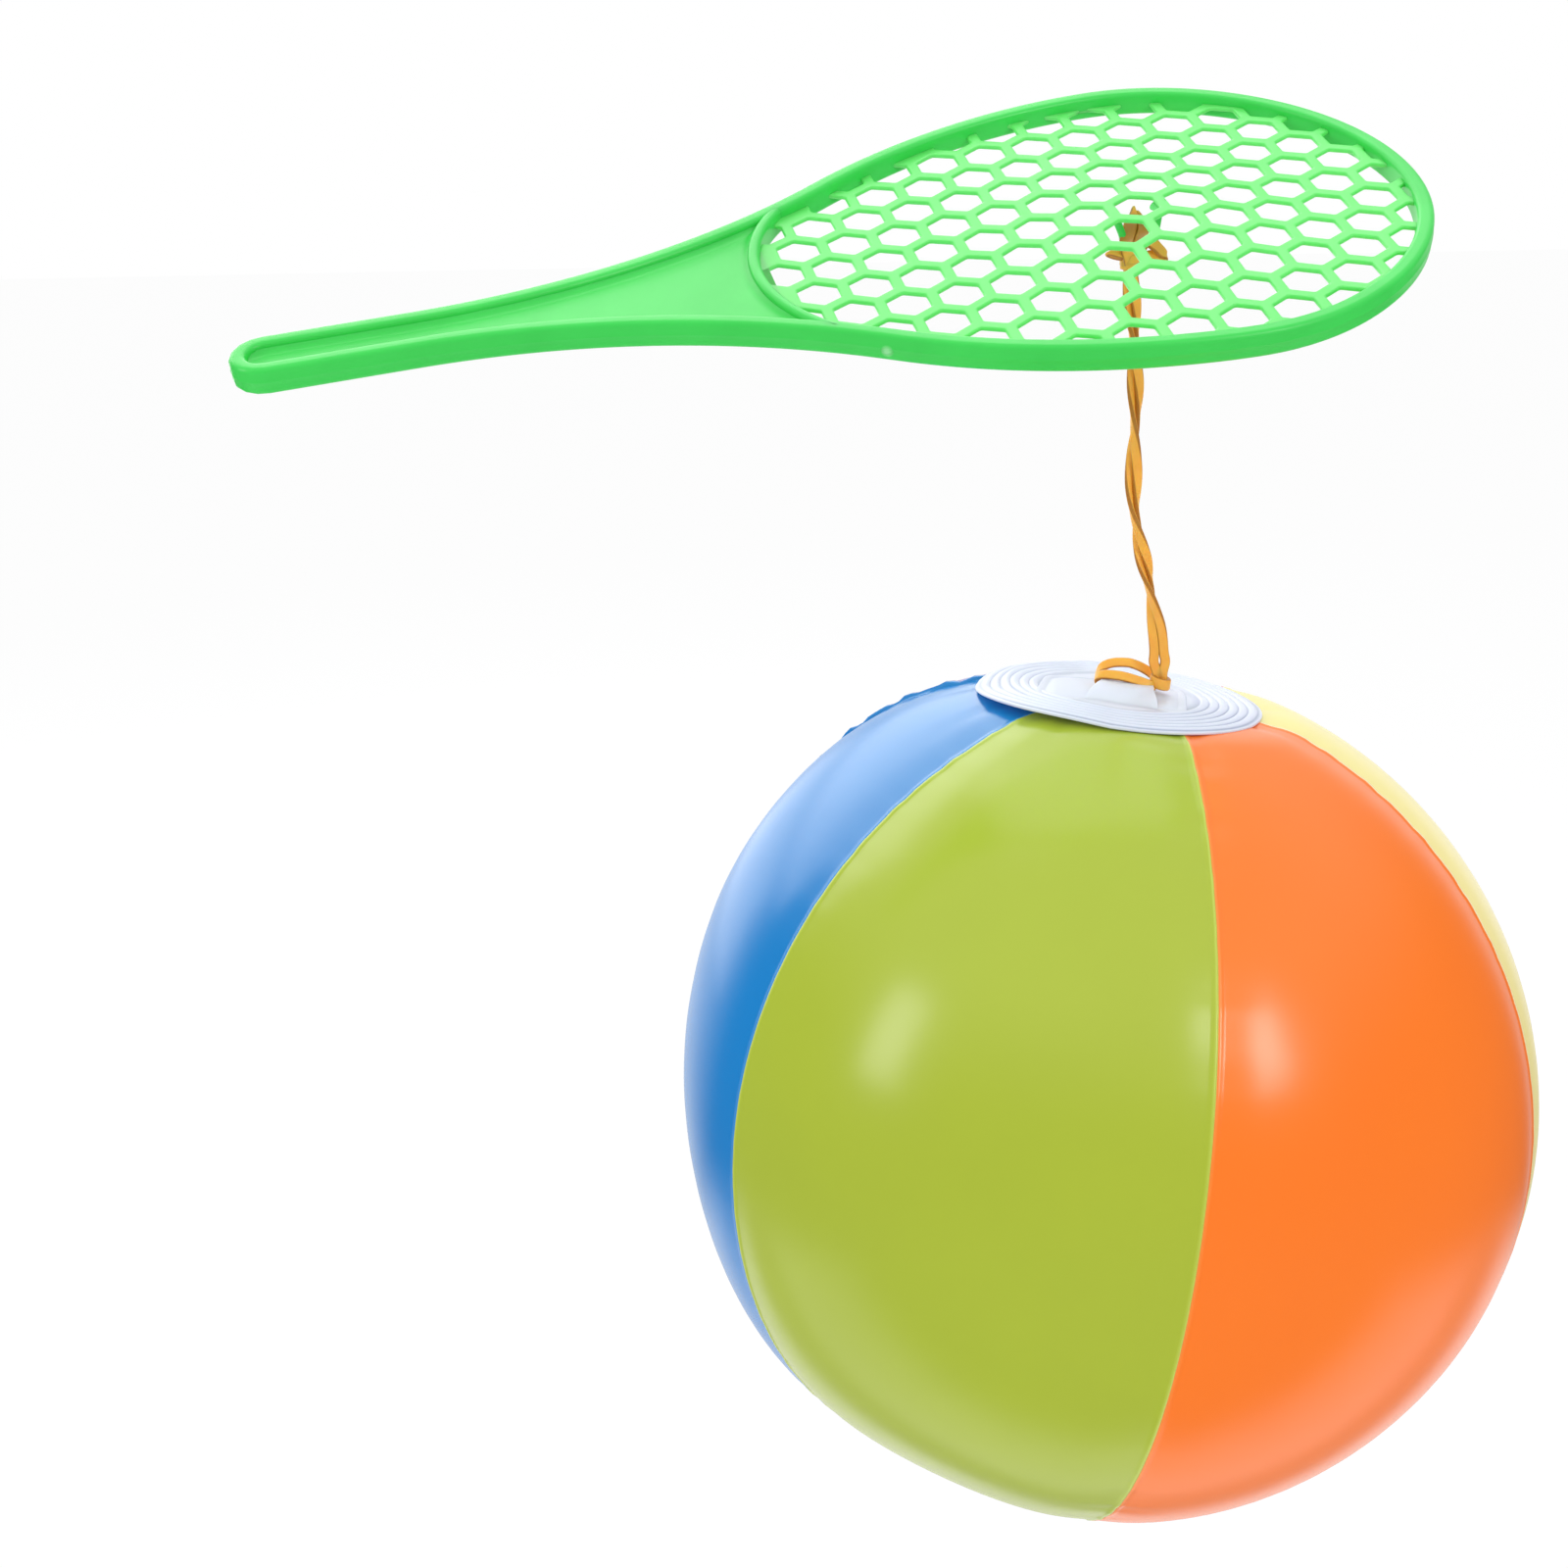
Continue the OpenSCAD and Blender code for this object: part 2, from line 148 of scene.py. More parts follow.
def turn(axis: Axis, degrees: float) -> Array:
    """Rotation matrix about one axis.

    Args:
        axis: the axis that is turned about.
        degrees: the angle, right-handed.

    Returns:
        A 3 by 3 matrix.
    """
    cosine, sine = math.cos(math.radians(degrees)), math.sin(math.radians(degrees))
    matrix = np.eye(3)
    a, b = (axis.value + 1) % 3, (axis.value + 2) % 3
    matrix[a, a] = matrix[b, b] = cosine
    matrix[a, b] = -sine
    matrix[b, a] = sine
    return matrix


def unit(vectors: Array) -> Array:
    """Vectors scaled to a length of 1 along the last axis."""
    return vectors / np.maximum(np.linalg.norm(vectors, axis=-1, keepdims=True), 1e-12)


def circle(count: int) -> Array:
    """Angles in equal steps once round, in radians."""
    return np.linspace(0, 2 * np.pi, count, endpoint=False)


def bearing(angle: Array) -> Array:
    """Level directions at angles about the z axis: their cosine, their sine and 0."""
    return np.stack([np.cos(angle), np.sin(angle), 0 * angle], axis=-1)


def ease(x: Array) -> Array:
    """A smooth step from 0 to 1 as x goes from 0 to 1: 3x squared less 2x cubed."""
    x = np.clip(x, 0.0, 1.0)
    return x * x * (3.0 - 2.0 * x)


def ramp(x: Array, start: float, end: float) -> Array:
    """The same smooth step, from 0 at start to 1 at end."""
    return ease((x - start) / (end - start))


def bump(x: Array, middle: float, spread: float) -> Array:
    """A bell of height 1 round a middle, exp of minus the squared share of its spread."""
    return np.exp(-(((x - middle) / spread) ** 2))


def smooth_path(stops: Array, count: int) -> Array:
    """A Catmull-Rom curve through stops, at equal steps of its length in the first three columns.

    Args:
        stops: one row for each stop, a place and any further values to carry along.
        count: number of rows to give back.

    Returns:
        The rows along the curve.
    """
    stops = np.asarray(stops, float)
    padded = np.vstack([2 * stops[0] - stops[1], stops, 2 * stops[-1] - stops[-2]])
    spans = len(stops) - 1
    place = np.linspace(0, spans, STOP_STEPS * spans + 1)
    first = np.minimum(place.astype(int), spans - 1)
    f = (place - first)[:, None]
    a, b, c, d = padded[first], padded[first + 1], padded[first + 2], padded[first + 3]
    curve = 0.5 * (
        2 * b + (c - a) * f + (2 * a - 5 * b + 4 * c - d) * f**2 + (3 * b - a - 3 * c + d) * f**3
    )
    steps = np.linalg.norm(np.diff(curve[:, :3], axis=0), axis=1)
    length = np.concatenate([[0.0], np.cumsum(steps)])
    at = np.linspace(0.0, length[-1], count)
    return np.stack([np.interp(at, length, column) for column in curve.T], axis=1)


@dataclass(frozen=True)
class Placement:
    """A turn and then a shift, from a piece's own frame to the frame of the solids."""

    matrix: Array
    shift: Array

    def out(self, points: Array) -> Array:
        """Points of the piece's own frame, in the frame of the solids."""
        return points @ self.matrix.T + self.shift

    def turned(self, vectors: Array) -> Array:
        """Directions of the piece's own frame, in the frame of the solids."""
        return vectors @ self.matrix.T


# Meshes


@dataclass
class Shell:
    """Points, quads between them, and marks that a material reads at each point."""

    points: Array
    quads: Array
    marks: dict[str, Array] = field(default_factory=dict)

    def placed(self, place: Placement) -> "Shell":
        """The same shell in the frame of the solids."""
        return Shell(place.out(self.points), self.quads, self.marks)


def joined(shells: list[Shell]) -> Shell:
    """Several shells as one, with a mark of 0 where a shell lacks it.

    Args:
        shells: the shells, in the order that their points are kept.

    Returns:
        One shell.
    """
    starts = np.cumsum([0] + [len(s.points) for s in shells])
    quads = [s.quads + start for s, start in zip(shells, starts)]
    names = sorted({name for s in shells for name in s.marks})
    marks = {
        name: np.concatenate([s.marks.get(name, np.zeros(len(s.points))) for s in shells])
        for name in names
    }
    return Shell(np.concatenate([s.points for s in shells]), np.concatenate(quads), marks)


def grid_quads(rows: int, columns: int, wrap_rows: bool, wrap_columns: bool) -> Array:
    """Quads of a grid whose points are stored row by row.

    Args:
        rows: number of rows.
        columns: number of points in a row.
        wrap_rows: whether the last row joins the first.
        wrap_columns: whether a row's last point joins its first.

    Returns:
        Four indices for each quad.
    """
    r, c = np.meshgrid(
        np.arange(rows if wrap_rows else rows - 1),
        np.arange(columns if wrap_columns else columns - 1),
        indexing="ij",
    )
    r2, c2 = (r + 1) % rows, (c + 1) % columns
    corners = [r * columns + c, r2 * columns + c, r2 * columns + c2, r * columns + c2]
    return np.stack(corners, axis=-1).reshape(-1, 4)


def grid_shell(points: Array, wrap_rows: bool = False, wrap_columns: bool = False) -> Shell:
    """A shell from a grid of points.

    Args:
        points: rows by columns by 3.
        wrap_rows: whether the last row joins the first.
        wrap_columns: whether a row's last point joins its first.

    Returns:
        The shell.
    """
    rows, columns = points.shape[:2]
    return Shell(points.reshape(-1, 3), grid_quads(rows, columns, wrap_rows, wrap_columns))


def corner_section(corner: float, steps: int) -> tuple[Array, Array, Array, Array]:
    """The four rounded corners of a section, counter-clockwise.

    Args:
        corner: radius of a corner.
        steps: steps in a quarter turn.

    Returns:
        For each point, the signs of its corner in x and y and its offset from the corner's centre.
    """
    angle = np.radians(np.linspace(0, 90, steps + 1)[None, :] + 90 * np.arange(4)[:, None]).ravel()
    sign_x = np.repeat([1, -1, -1, 1], steps + 1)
    sign_y = np.repeat([1, 1, -1, -1], steps + 1)
    return sign_x, sign_y, corner * np.cos(angle), corner * np.sin(angle)


def carried(line: Array, side: Array, face: Array, x: Array, y: Array, closed: bool) -> Shell:
    """A section carried along a line: each point is the line's, plus x along side, plus y along face.

    Args:
        line: n places.
        side: direction of the section's x, one or n.
        face: direction of the section's y, one or n.
        x: the section's x, k values or n by k.
        y: the section's y, k values or n by k.
        closed: whether the line ends where it starts; an open one gets flat ends that meet in a pole.

    Returns:
        The shell.
    """
    x, y = np.atleast_2d(x)[..., None], np.atleast_2d(y)[..., None]
    side, face = (np.broadcast_to(way, line.shape)[:, None] for way in (side, face))
    rings = line[:, None] + side * x + face * y
    if not closed:
        poles = np.broadcast_to(line[[0, -1]][:, None], (2,) + rings.shape[1:])
        rings = np.concatenate([poles[:1], rings, poles[1:]])
    return grid_shell(rings, closed, True)


def strip(line: Array, side: Array, width: Array, thick: Array, closed: bool = False) -> Shell:
    """A flat strip with rounded edges along a line, marked from 0 in its middle to 1 at its edges.

    Args:
        line: n places along its middle.
        side: direction of its width, one or n, which is squared up to the line.
        width: its width, one value or n.
        thick: its thickness, one value or n.
        closed: whether it is a ring.

    Returns:
        The shell, with the mark "edge".
    """
    if closed:
        along = unit(np.roll(line, -1, axis=0) - np.roll(line, 1, axis=0))
    else:
        along = unit(np.gradient(line, axis=0))
    side = unit(side - along * np.sum(side * along, axis=1, keepdims=True))
    face = np.cross(along, side)
    width = np.broadcast_to(width, len(line))[:, None]
    thick = np.broadcast_to(thick, len(line))[:, None]
    sign_x, sign_y, off_x, off_y = corner_section(1.0, 4)
    corner = STRIP_ROUND * thick
    x = sign_x * (width / 2 - corner) + corner * off_x
    y = sign_y * (thick / 2 - corner) + corner * off_y
    shell = carried(line, side, face, x, y, closed)
    edge = np.abs(x) / (width / 2)
    if not closed:
        end = np.full_like(edge[:1], CUT_END_MARK)
        edge = np.vstack([end, edge, end])
    shell.marks["edge"] = edge.ravel()
    return shell


def revolved(profile: Array, count: int, closed: bool) -> Shell:
    """A profile of radius and height turned once about the z axis.

    Args:
        profile: rows of radius and height, from the bottom outwards and up.
        count: steps round the axis.
        closed: whether the profile's last row joins its first.

    Returns:
        The shell.
    """
    angle = circle(count)
    radius, height = profile[:, 0][:, None], profile[:, 1][:, None]
    points = np.stack([radius * np.cos(angle), radius * np.sin(angle), height + 0 * angle], axis=-1)
    return grid_shell(points, closed, True)


def make_piece(
    name: str,
    shell: Shell,
    finish: "Finish",
    slot: Slot,
    nodes: tuple[str, ...],
    body: Body | None,
    fill: bool = False,
) -> Object:
    """Turns a shell into an object at the origin, merges its poles and seams, and dresses it.

    Args:
        name: name of the piece.
        shell: its shell, in millimetres in the frame of the solids.
        finish: what it is made of.
        slot: the record's slot for that finish; not used.
        nodes: the solids that it stands for.
        body: the body that it rides on, or nothing, in which case it is left on no body.
        fill: whether open edges are closed with a face each.

    Returns:
        The object.
    """
    mesh = bpy.data.meshes.new(name)
    mesh.from_pydata((shell.points * MM).tolist(), [], shell.quads.tolist())
    for mark, values in shell.marks.items():
        layer = mesh.attributes.new(mark, "FLOAT", "POINT")
        layer.data.foreach_set("value", values.astype(np.float32))
    work = bmesh.new()
    work.from_mesh(mesh)
    bmesh.ops.remove_doubles(work, verts=work.verts, dist=MERGE_M)
    bmesh.ops.dissolve_degenerate(work, edges=work.edges, dist=SLIVER_M)
    if fill:
        open_edges = [edge for edge in work.edges if edge.is_boundary]
        bmesh.ops.holes_fill(work, edges=open_edges, sides=0)
    bmesh.ops.recalc_face_normals(work, faces=work.faces)
    work.to_mesh(mesh)
    work.free()
    mesh.shade_smooth()
    mesh.set_sharp_from_angle(angle=math.radians(SHARP_ANGLE))
    piece = bpy.data.objects.new(name, mesh)
    bpy.context.scene.collection.objects.link(piece)
    mesh.materials.append(finish.material())
    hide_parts(*nodes)
    if body:
        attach(piece, body.value)
    LOG.info("%s: %d points, %d faces", name, len(mesh.vertices), len(mesh.polygons))
    return piece


# Finishes


def add_node(
    tree: NodeTree,
    kind: str,
    settings: dict | None = None,
    values: dict | None = None,
    links: dict | None = None,
) -> Node:
    """Adds one node with its settings, values and links.

    Args:
        tree: the tree that it goes into.
        kind: its type, without the leading "ShaderNode".
        settings: the node's own properties.
        values: values for input sockets, by name or number.
        links: output sockets that feed input sockets, by name or number.

    Returns:
        The node.
    """
    node = tree.nodes.new("ShaderNode" + kind)
    for key, value in (settings or {}).items():
        setattr(node, key, value)
    for key, value in (values or {}).items():
        node.inputs[key].default_value = value
    for key, source in (links or {}).items():
        tree.links.new(source, node.inputs[key])
    return node


class Ramp(str, Enum):
    """How a share rises from none to full."""

    EVEN = "LINEAR"
    SOFT = "SMOOTHSTEP"


def mapped(tree: NodeTree, value: NodeSocket, span: Pair, to: Pair, rise: Ramp = Ramp.EVEN) -> NodeSocket:
    """Carries a value from one span to another and holds it past the ends.

    Args:
        tree: the tree that the node goes into.
        value: the value.
        span: where it starts and ends.
        to: what it becomes there.
        rise: how it goes from one to the other.

    Returns:
        The value that comes out.
    """
    ends = {"From Min": span[0], "From Max": span[1], "To Min": to[0], "To Max": to[1]}
    node = add_node(tree, "MapRange", {"interpolation_type": rise.value}, ends, {"Value": value})
    return node.outputs["Result"]


@dataclass(frozen=True)
class Noise:
    """A cloudy pattern: the real size of its features in millimetres, its detail, harshness and bend."""

    size_mm: float
    detail: float
    harsh: float = 0.5
    bend: float = 0.0

    def values(self) -> dict[str, float]:
        """The pattern as values of a noise texture, its scale being features per metre."""
        scale = 1.0 / (self.size_mm * MM)
        return {"Scale": scale, "Detail": self.detail, "Roughness": self.harsh, "Distortion": self.bend}


@dataclass(frozen=True)
class Finish:
    """A finish whose colour drifts in clouds to a second one and turns to a third at a mark.

    A fine grain lifts the surface, the gloss varies with the clouds or the grain, and light goes a little
    way in. A share gives where a pattern starts and ends, and how much of its colour it gets there.
    """

    name: str
    colour: str
    roughness: float
    ior: float
    cloud_colour: str = "ffffff"
    mark_colour: str = "ffffff"
    mark: str = ""
    mark_ramp: Ramp = Ramp.EVEN
    mark_share: Triple = (0.0, 1.0, 1.0)
    cloud: Noise = Noise(16.0, 3.0)
    cloud_share: Triple = (0.0, 1.0, 1.0)
    grain: Noise = Noise(0.9, 2.0)
    grain_strength: float = 0.1
    grain_depth_mm: float = 0.03
    gloss_drift: Pair = (-0.06, 0.08)
    gloss_by_grain: bool = False
    glow: float = 0.0
    glow_mm: float = 1.5
    glow_reach: Triple = (0.9, 0.9, 1.0)

    def marked(self, tree: NodeTree, place: NodeSocket) -> NodeSocket | None:
        """How far the mark's colour shows: an attribute of the piece, mapped to the mark's share.

        Args:
            tree: the material's nodes.
            place: places on the piece, for a mark that is found by its distance; not used here.

        Returns:
            The share, or nothing where the finish has no mark.
        """
        if not self.mark:
            return None
        start, end, most = self.mark_share
        mark = add_node(tree, "Attribute", {"attribute_name": self.mark})
        return mapped(tree, mark.outputs["Fac"], (start, end), (0.0, most), self.mark_ramp)

    def material(self) -> Material:
        """Makes the material once and gives it back.

        Returns:
            The material, with its nodes.
        """
        found = bpy.data.materials.get(self.name)
        if found:
            return found
        material = bpy.data.materials.new(self.name)
        material.use_nodes = True
        material.diffuse_color = linear(self.colour)
        tree = material.node_tree
        tree.nodes.clear()
        place = add_node(tree, "TexCoord").outputs["Object"]
        cloud, grain = (
            add_node(tree, "TexNoise", values=noise.values(), links={"Vector": place}).outputs["Fac"]
            for noise in (self.cloud, self.grain)
        )
        start, end, most = self.cloud_share
        share = mapped(tree, cloud, (start, end), (0.0, most))
        tint = add_node(
            tree,
            "Mix",
            {"data_type": "RGBA"},
            {6: linear(self.colour), 7: linear(self.cloud_colour)},
            {0: share},
        )
        marked = self.marked(tree, place)
        if marked:
            tint = add_node(
                tree,
                "Mix",
                {"data_type": "RGBA"},
                {7: linear(self.mark_colour)},
                {0: marked, 6: tint.outputs[2]},
            )
        low, high = self.gloss_drift
        varied = grain if self.gloss_by_grain else cloud
        gloss = mapped(tree, varied, (0.0, 1.0), (self.roughness + low, self.roughness + high))
        relief = add_node(
            tree,
            "Bump",
            values={"Strength": self.grain_strength, "Distance": self.grain_depth_mm * MM},
            links={"Height": grain},
        )
        shader = add_node(
            tree,
            "BsdfPrincipled",
            values={
                "Base Color": linear(self.colour),
                "Roughness": self.roughness,
                "IOR": self.ior,
                "Subsurface Weight": self.glow,
                "Subsurface Radius": self.glow_reach,
                "Subsurface Scale": self.glow_mm * MM,
            },
            links={
                "Base Color": tint.outputs[2],
                "Roughness": gloss,
                "Normal": relief.outputs["Normal"],
            },
        )
        add_node(tree, "OutputMaterial", links={"Surface": shader.outputs["BSDF"]})
        return material


@dataclass(frozen=True)
class MouldedPolypropylene(Finish):
    """Injection-moulded polypropylene: waxy, half-matt, and lit from within where it is thin.

    The melt leaves cloudy flow marks a few centimetres long, the mould a grain too fine to count, and
    the gate a pale stress mark.
    """

    mark_colour: str = "b8f4bd"
    cloud: Noise = Noise(26.0, 4.0, bend=0.8)
    cloud_share: Triple = (0.35, 0.7, 0.55)
    # The real grain is about 0.1 mm, drawn coarser so that it shows
    grain: Noise = Noise(0.7, 3.0)
    grain_strength: float = 0.12
    grain_depth_mm: float = 0.02
    gloss_drift: Pair = (-0.05, 0.07)
    glow_mm: float = 1.6
    glow_reach: Triple = (0.5, 1.0, 0.5)
    gate: Triple | None = None
    gate_mm: float = 1.3
    gate_core_mm: float = 0.39
    gate_pale: float = 0.6

    def marked(self, tree: NodeTree, place: NodeSocket) -> NodeSocket | None:
        """How far the gate's pale stress mark shows: full in its core and none past its edge.

        Args:
            tree: the material's nodes.
            place: places on the piece.

        Returns:
            The share, or nothing where the piece has no gate.
        """
        if not self.gate:
            return None
        middle = tuple(v * MM for v in self.gate)
        away = add_node(tree, "VectorMath", {"operation": "DISTANCE"}, {1: middle}, {0: place})
        span = (self.gate_core_mm * MM, self.gate_mm * MM)
        return mapped(tree, away.outputs["Value"], span, (self.gate_pale, 0.0))


@dataclass(frozen=True)
class VinylFilm(Finish):
    """Calendered PVC film, 0.3 mm: glossy, a little mottled, stretched tight by the air, faintly rippled.

    The heat of the weld leaves a paler line along each edge of a panel.
    """

    mark: str = "weld"
    cloud: Noise = Noise(34.0, 3.0)
    cloud_share: Triple = (0.3, 0.75, 0.3)
    grain: Noise = Noise(15.0, 1.5, harsh=0.4)
    grain_strength: float = 0.3
    grain_depth_mm: float = 0.12
    gloss_drift: Pair = (-0.03, 0.05)


@dataclass(frozen=True)
class WhiteVinyl(Finish):
    """Soft white PVC, pressed: milky, a little see-through at its edges, with a silky gloss.

    It has the cool clouds of a milky plastic, and painted shade in its pressed grooves and along the lug's
    pressed line.
    """

    cloud_colour: str = "d8daf4"
    # Painted shade: a cool grey laid into the pressed grooves of the discs and along the lug's pressed line
    mark_colour: str = "9aa2c2"
    mark: str = "groove"
    glow: float = 0.3


@dataclass(frozen=True)
class NaturalLatex(Finish):
    """Natural rubber cut from a tube: amber, cloudy, with a dry bloom, browner along its cut edges."""

    cloud_colour: str = "f6a83e"
    # The cut edges' darker tone, which is also laid on the eye as painted shade where it lies under the
    # honeycomb
    mark_colour: str = "985c14"
    mark: str = "edge"
    mark_ramp: Ramp = Ramp.SOFT
    mark_share: Triple = (0.74, 1.0, 0.78)
    cloud: Noise = Noise(5.0, 3.0, bend=0.5)
    cloud_share: Triple = (0.35, 0.7, 0.7)
    # Dusting powder, drawn coarser than it is so that it shows
    grain: Noise = Noise(0.5, 2.0)
    grain_strength: float = 0.2
    gloss_drift: Pair = (-0.08, 0.12)
    gloss_by_grain: bool = True
    glow: float = 0.35
    glow_mm: float = 1.2
    glow_reach: Triple = (1.0, 0.55, 0.15)


RIM_GREEN = MouldedPolypropylene("polypropylene_green_moulded", "3cd856", 0.36, 1.49, "30c84a", glow=0.15)
GRID_GREEN = MouldedPolypropylene(
    "polypropylene_green_thin_moulded", "68e46e", 0.36, 1.49, "58d862", glow=0.35
)
WHITE_VINYL = WhiteVinyl("pvc_soft_white_pressed", "dfe2f5", 0.3, 1.53)
AMBER_LATEX = NaturalLatex("latex_amber_cut_strip", "ffba48", 0.38, 1.52)


# Sub-assemblies


@dataclass(frozen=True)
class Hold:
    """How the paddle is held and where the ball hangs, as in the solids."""

    pitch: float = 8.0
    roll: float = 22.5
    hook_x: float = 124.0
    hook_z: float = -5.1
    hang_l: float = 180.0
    ball_lean: float = 6.0
    lug_turn: float = -19.0

    def paddle(self) -> Placement:
        """The paddle's frame: rolled about its handle, then pitched nose-up."""
        matrix = turn(Axis.Y, -self.pitch) @ turn(Axis.X, self.roll)
        return Placement(matrix, np.zeros(3))

    def hook(self) -> Array:
        """The middle of the hook's bar."""
        return self.paddle().out(np.array([self.hook_x, 0.0, self.hook_z]))

    def ball(self) -> Placement:
        """The ball's frame: straight under the hook, with its axis leaning to the right."""
        return Placement(turn(Axis.Y, self.ball_lean), self.hook() - np.array([0, 0, self.hang_l]))

    def lug_end(self) -> Placement:
        """The ball's frame turned about its axis, so that +X runs from the lug to the axis."""
        ball = self.ball()
        return Placement(ball.matrix @ turn(Axis.Z, self.lug_turn), ball.shift)


@dataclass(frozen=True)
class Outline:
    """The paddle's outline: a tip arc, then shoulders, flares, the straight handle and its butt."""

    head_w: float = 101.0
    shoulder_r: float = 113.0
    flare_r: float = 150.0
    handle_w: float = 13.0
    reach: float = 180.0
    butt_l: float = 50.0
    # Fewest points on an arc, and points on a straight run with its ends
    arc_least: int = 8
    straight_points: int = 18

    @property
    def tip_r(self) -> float:
        """Radius of the tip."""
        return self.head_w / 2

    @property
    def tip_x(self) -> float:
        """Place of the tip's centre along the handle."""
        return self.reach - self.tip_r

    @property
    def shoulder_y(self) -> float:
        """How far past the middle line a shoulder's centre lies."""
        return self.shoulder_r - self.tip_r

    @property
    def neck_turn(self) -> float:
        """Angle of a shoulder and of a flare, which makes each tangent to the next."""
        drop = (self.tip_r - self.handle_w / 2) / (self.shoulder_r + self.flare_r)
        return math.degrees(math.acos(1 - drop))

    @property
    def flare_x(self) -> float:
        """Place of the flares' centres along the handle."""
        return self.tip_x - (self.shoulder_r + self.flare_r) * math.sin(math.radians(self.neck_turn))

    @property
    def flare_y(self) -> float:
        """How far out the flares' centres lie."""
        return self.handle_w / 2 + self.flare_r

    @property
    def butt_x(self) -> float:
        """Place of the butt's centre along the handle."""
        return -self.butt_l + self.handle_w / 2

    def trace(self, inset: float, step: float) -> tuple[Array, Array]:
        """The outline moved inwards, counter-clockwise from the lower side of the tip.

        Args:
            inset: how far it is moved inwards.
            step: spacing of its points.

        Returns:
            The places in x and y, and the outward direction at each.
        """
        turned = self.neck_turn
        half = self.handle_w / 2
        arcs = (
            (self.tip_x, 0.0, self.tip_r - inset, -90, 90, 1, False),
            (self.tip_x, -self.shoulder_y, self.shoulder_r - inset, 90, 90 + turned, 1, False),
            (self.flare_x, self.flare_y, self.flare_r + inset, turned - 90, -90, -1, True),
            (self.butt_x, 0.0, half - inset, 90, 270, 1, True),
            (self.flare_x, -self.flare_y, self.flare_r + inset, 90, 90 - turned, -1, True),
            (self.tip_x, self.shoulder_y, self.shoulder_r - inset, 270 - turned, 270, 1, False),
        )
        places, outward = [], []
        for x, y, radius, start, stop, sign, whole in arcs:
            count = max(self.arc_least, int(abs(math.radians(stop - start)) * radius / step))
            ray = bearing(np.radians(np.linspace(start, stop, count, endpoint=whole)))[:, :2]
            places.append(np.array([x, y]) + radius * ray)
            outward.append(sign * ray)
        run = np.linspace(self.flare_x, self.butt_x, self.straight_points)[1:-1]
        for order, side, straight in ((4, -1.0, run[::-1]), (3, 1.0, run)):
            places.insert(order, np.column_stack([straight, np.full_like(run, side * (half - inset))]))
            outward.insert(order, np.tile([0.0, side], (len(run), 1)))
        keep = np.concatenate(places)
        rays = np.concatenate(outward)
        apart = np.linalg.norm(keep - np.roll(keep, 1, axis=0), axis=1) > TOUCH
        return keep[apart], rays[apart]

    def past_wall(self, xy: Array, inset: float) -> tuple[Array, Array]:
        """How far points of the head lie outside the outline, measured along its arcs' radii.

        Args:
            xy: the points.
            inset: how far the outline is moved inwards first.

        Returns:
            The distance, which is negative inside, and the outward direction.
        """
        x, y = xy[..., 0], xy[..., 1]
        side = np.where(y < 0, -1.0, 1.0)
        joint_x = self.tip_x - self.shoulder_r * math.sin(math.radians(self.neck_turn))
        tip = np.stack([x - self.tip_x, y], axis=-1)
        shoulder = np.stack([x - self.tip_x, y + side * self.shoulder_y], axis=-1)
        flare = np.stack([self.flare_x - x, side * self.flare_y - y], axis=-1)
        far_tip = np.linalg.norm(tip, axis=-1) - (self.tip_r - inset)
        far_shoulder = np.linalg.norm(shoulder, axis=-1) - (self.shoulder_r - inset)
        far_flare = (self.flare_r + inset) - np.linalg.norm(flare, axis=-1)
        on_tip, on_shoulder = x >= self.tip_x, x >= joint_x
        far = np.where(on_tip, far_tip, np.where(on_shoulder, far_shoulder, far_flare))
        ray = np.where(on_tip[..., None], tip, np.where(on_shoulder[..., None], shoulder, flare))
        return far, unit(ray)

    def half_width(self, x: Array, inset: float) -> Array:
        """Half the width of the handle and its flares, moved inwards by inset.

        Args:
            x: places along the handle.
            inset: how far the outline is moved inwards.

        Returns:
            Half the width at each place, 0 past the butt.
        """
        half = self.handle_w / 2 - inset
        butt = np.sqrt(np.clip(half**2 - (x - self.butt_x) ** 2, 0, None))
        reach = self.flare_r + inset
        flare = self.flare_y - np.sqrt(np.clip(reach**2 - (x - self.flare_x) ** 2, 0, None))
        return np.where(x < self.butt_x, butt, np.where(x > self.flare_x, flare, half))


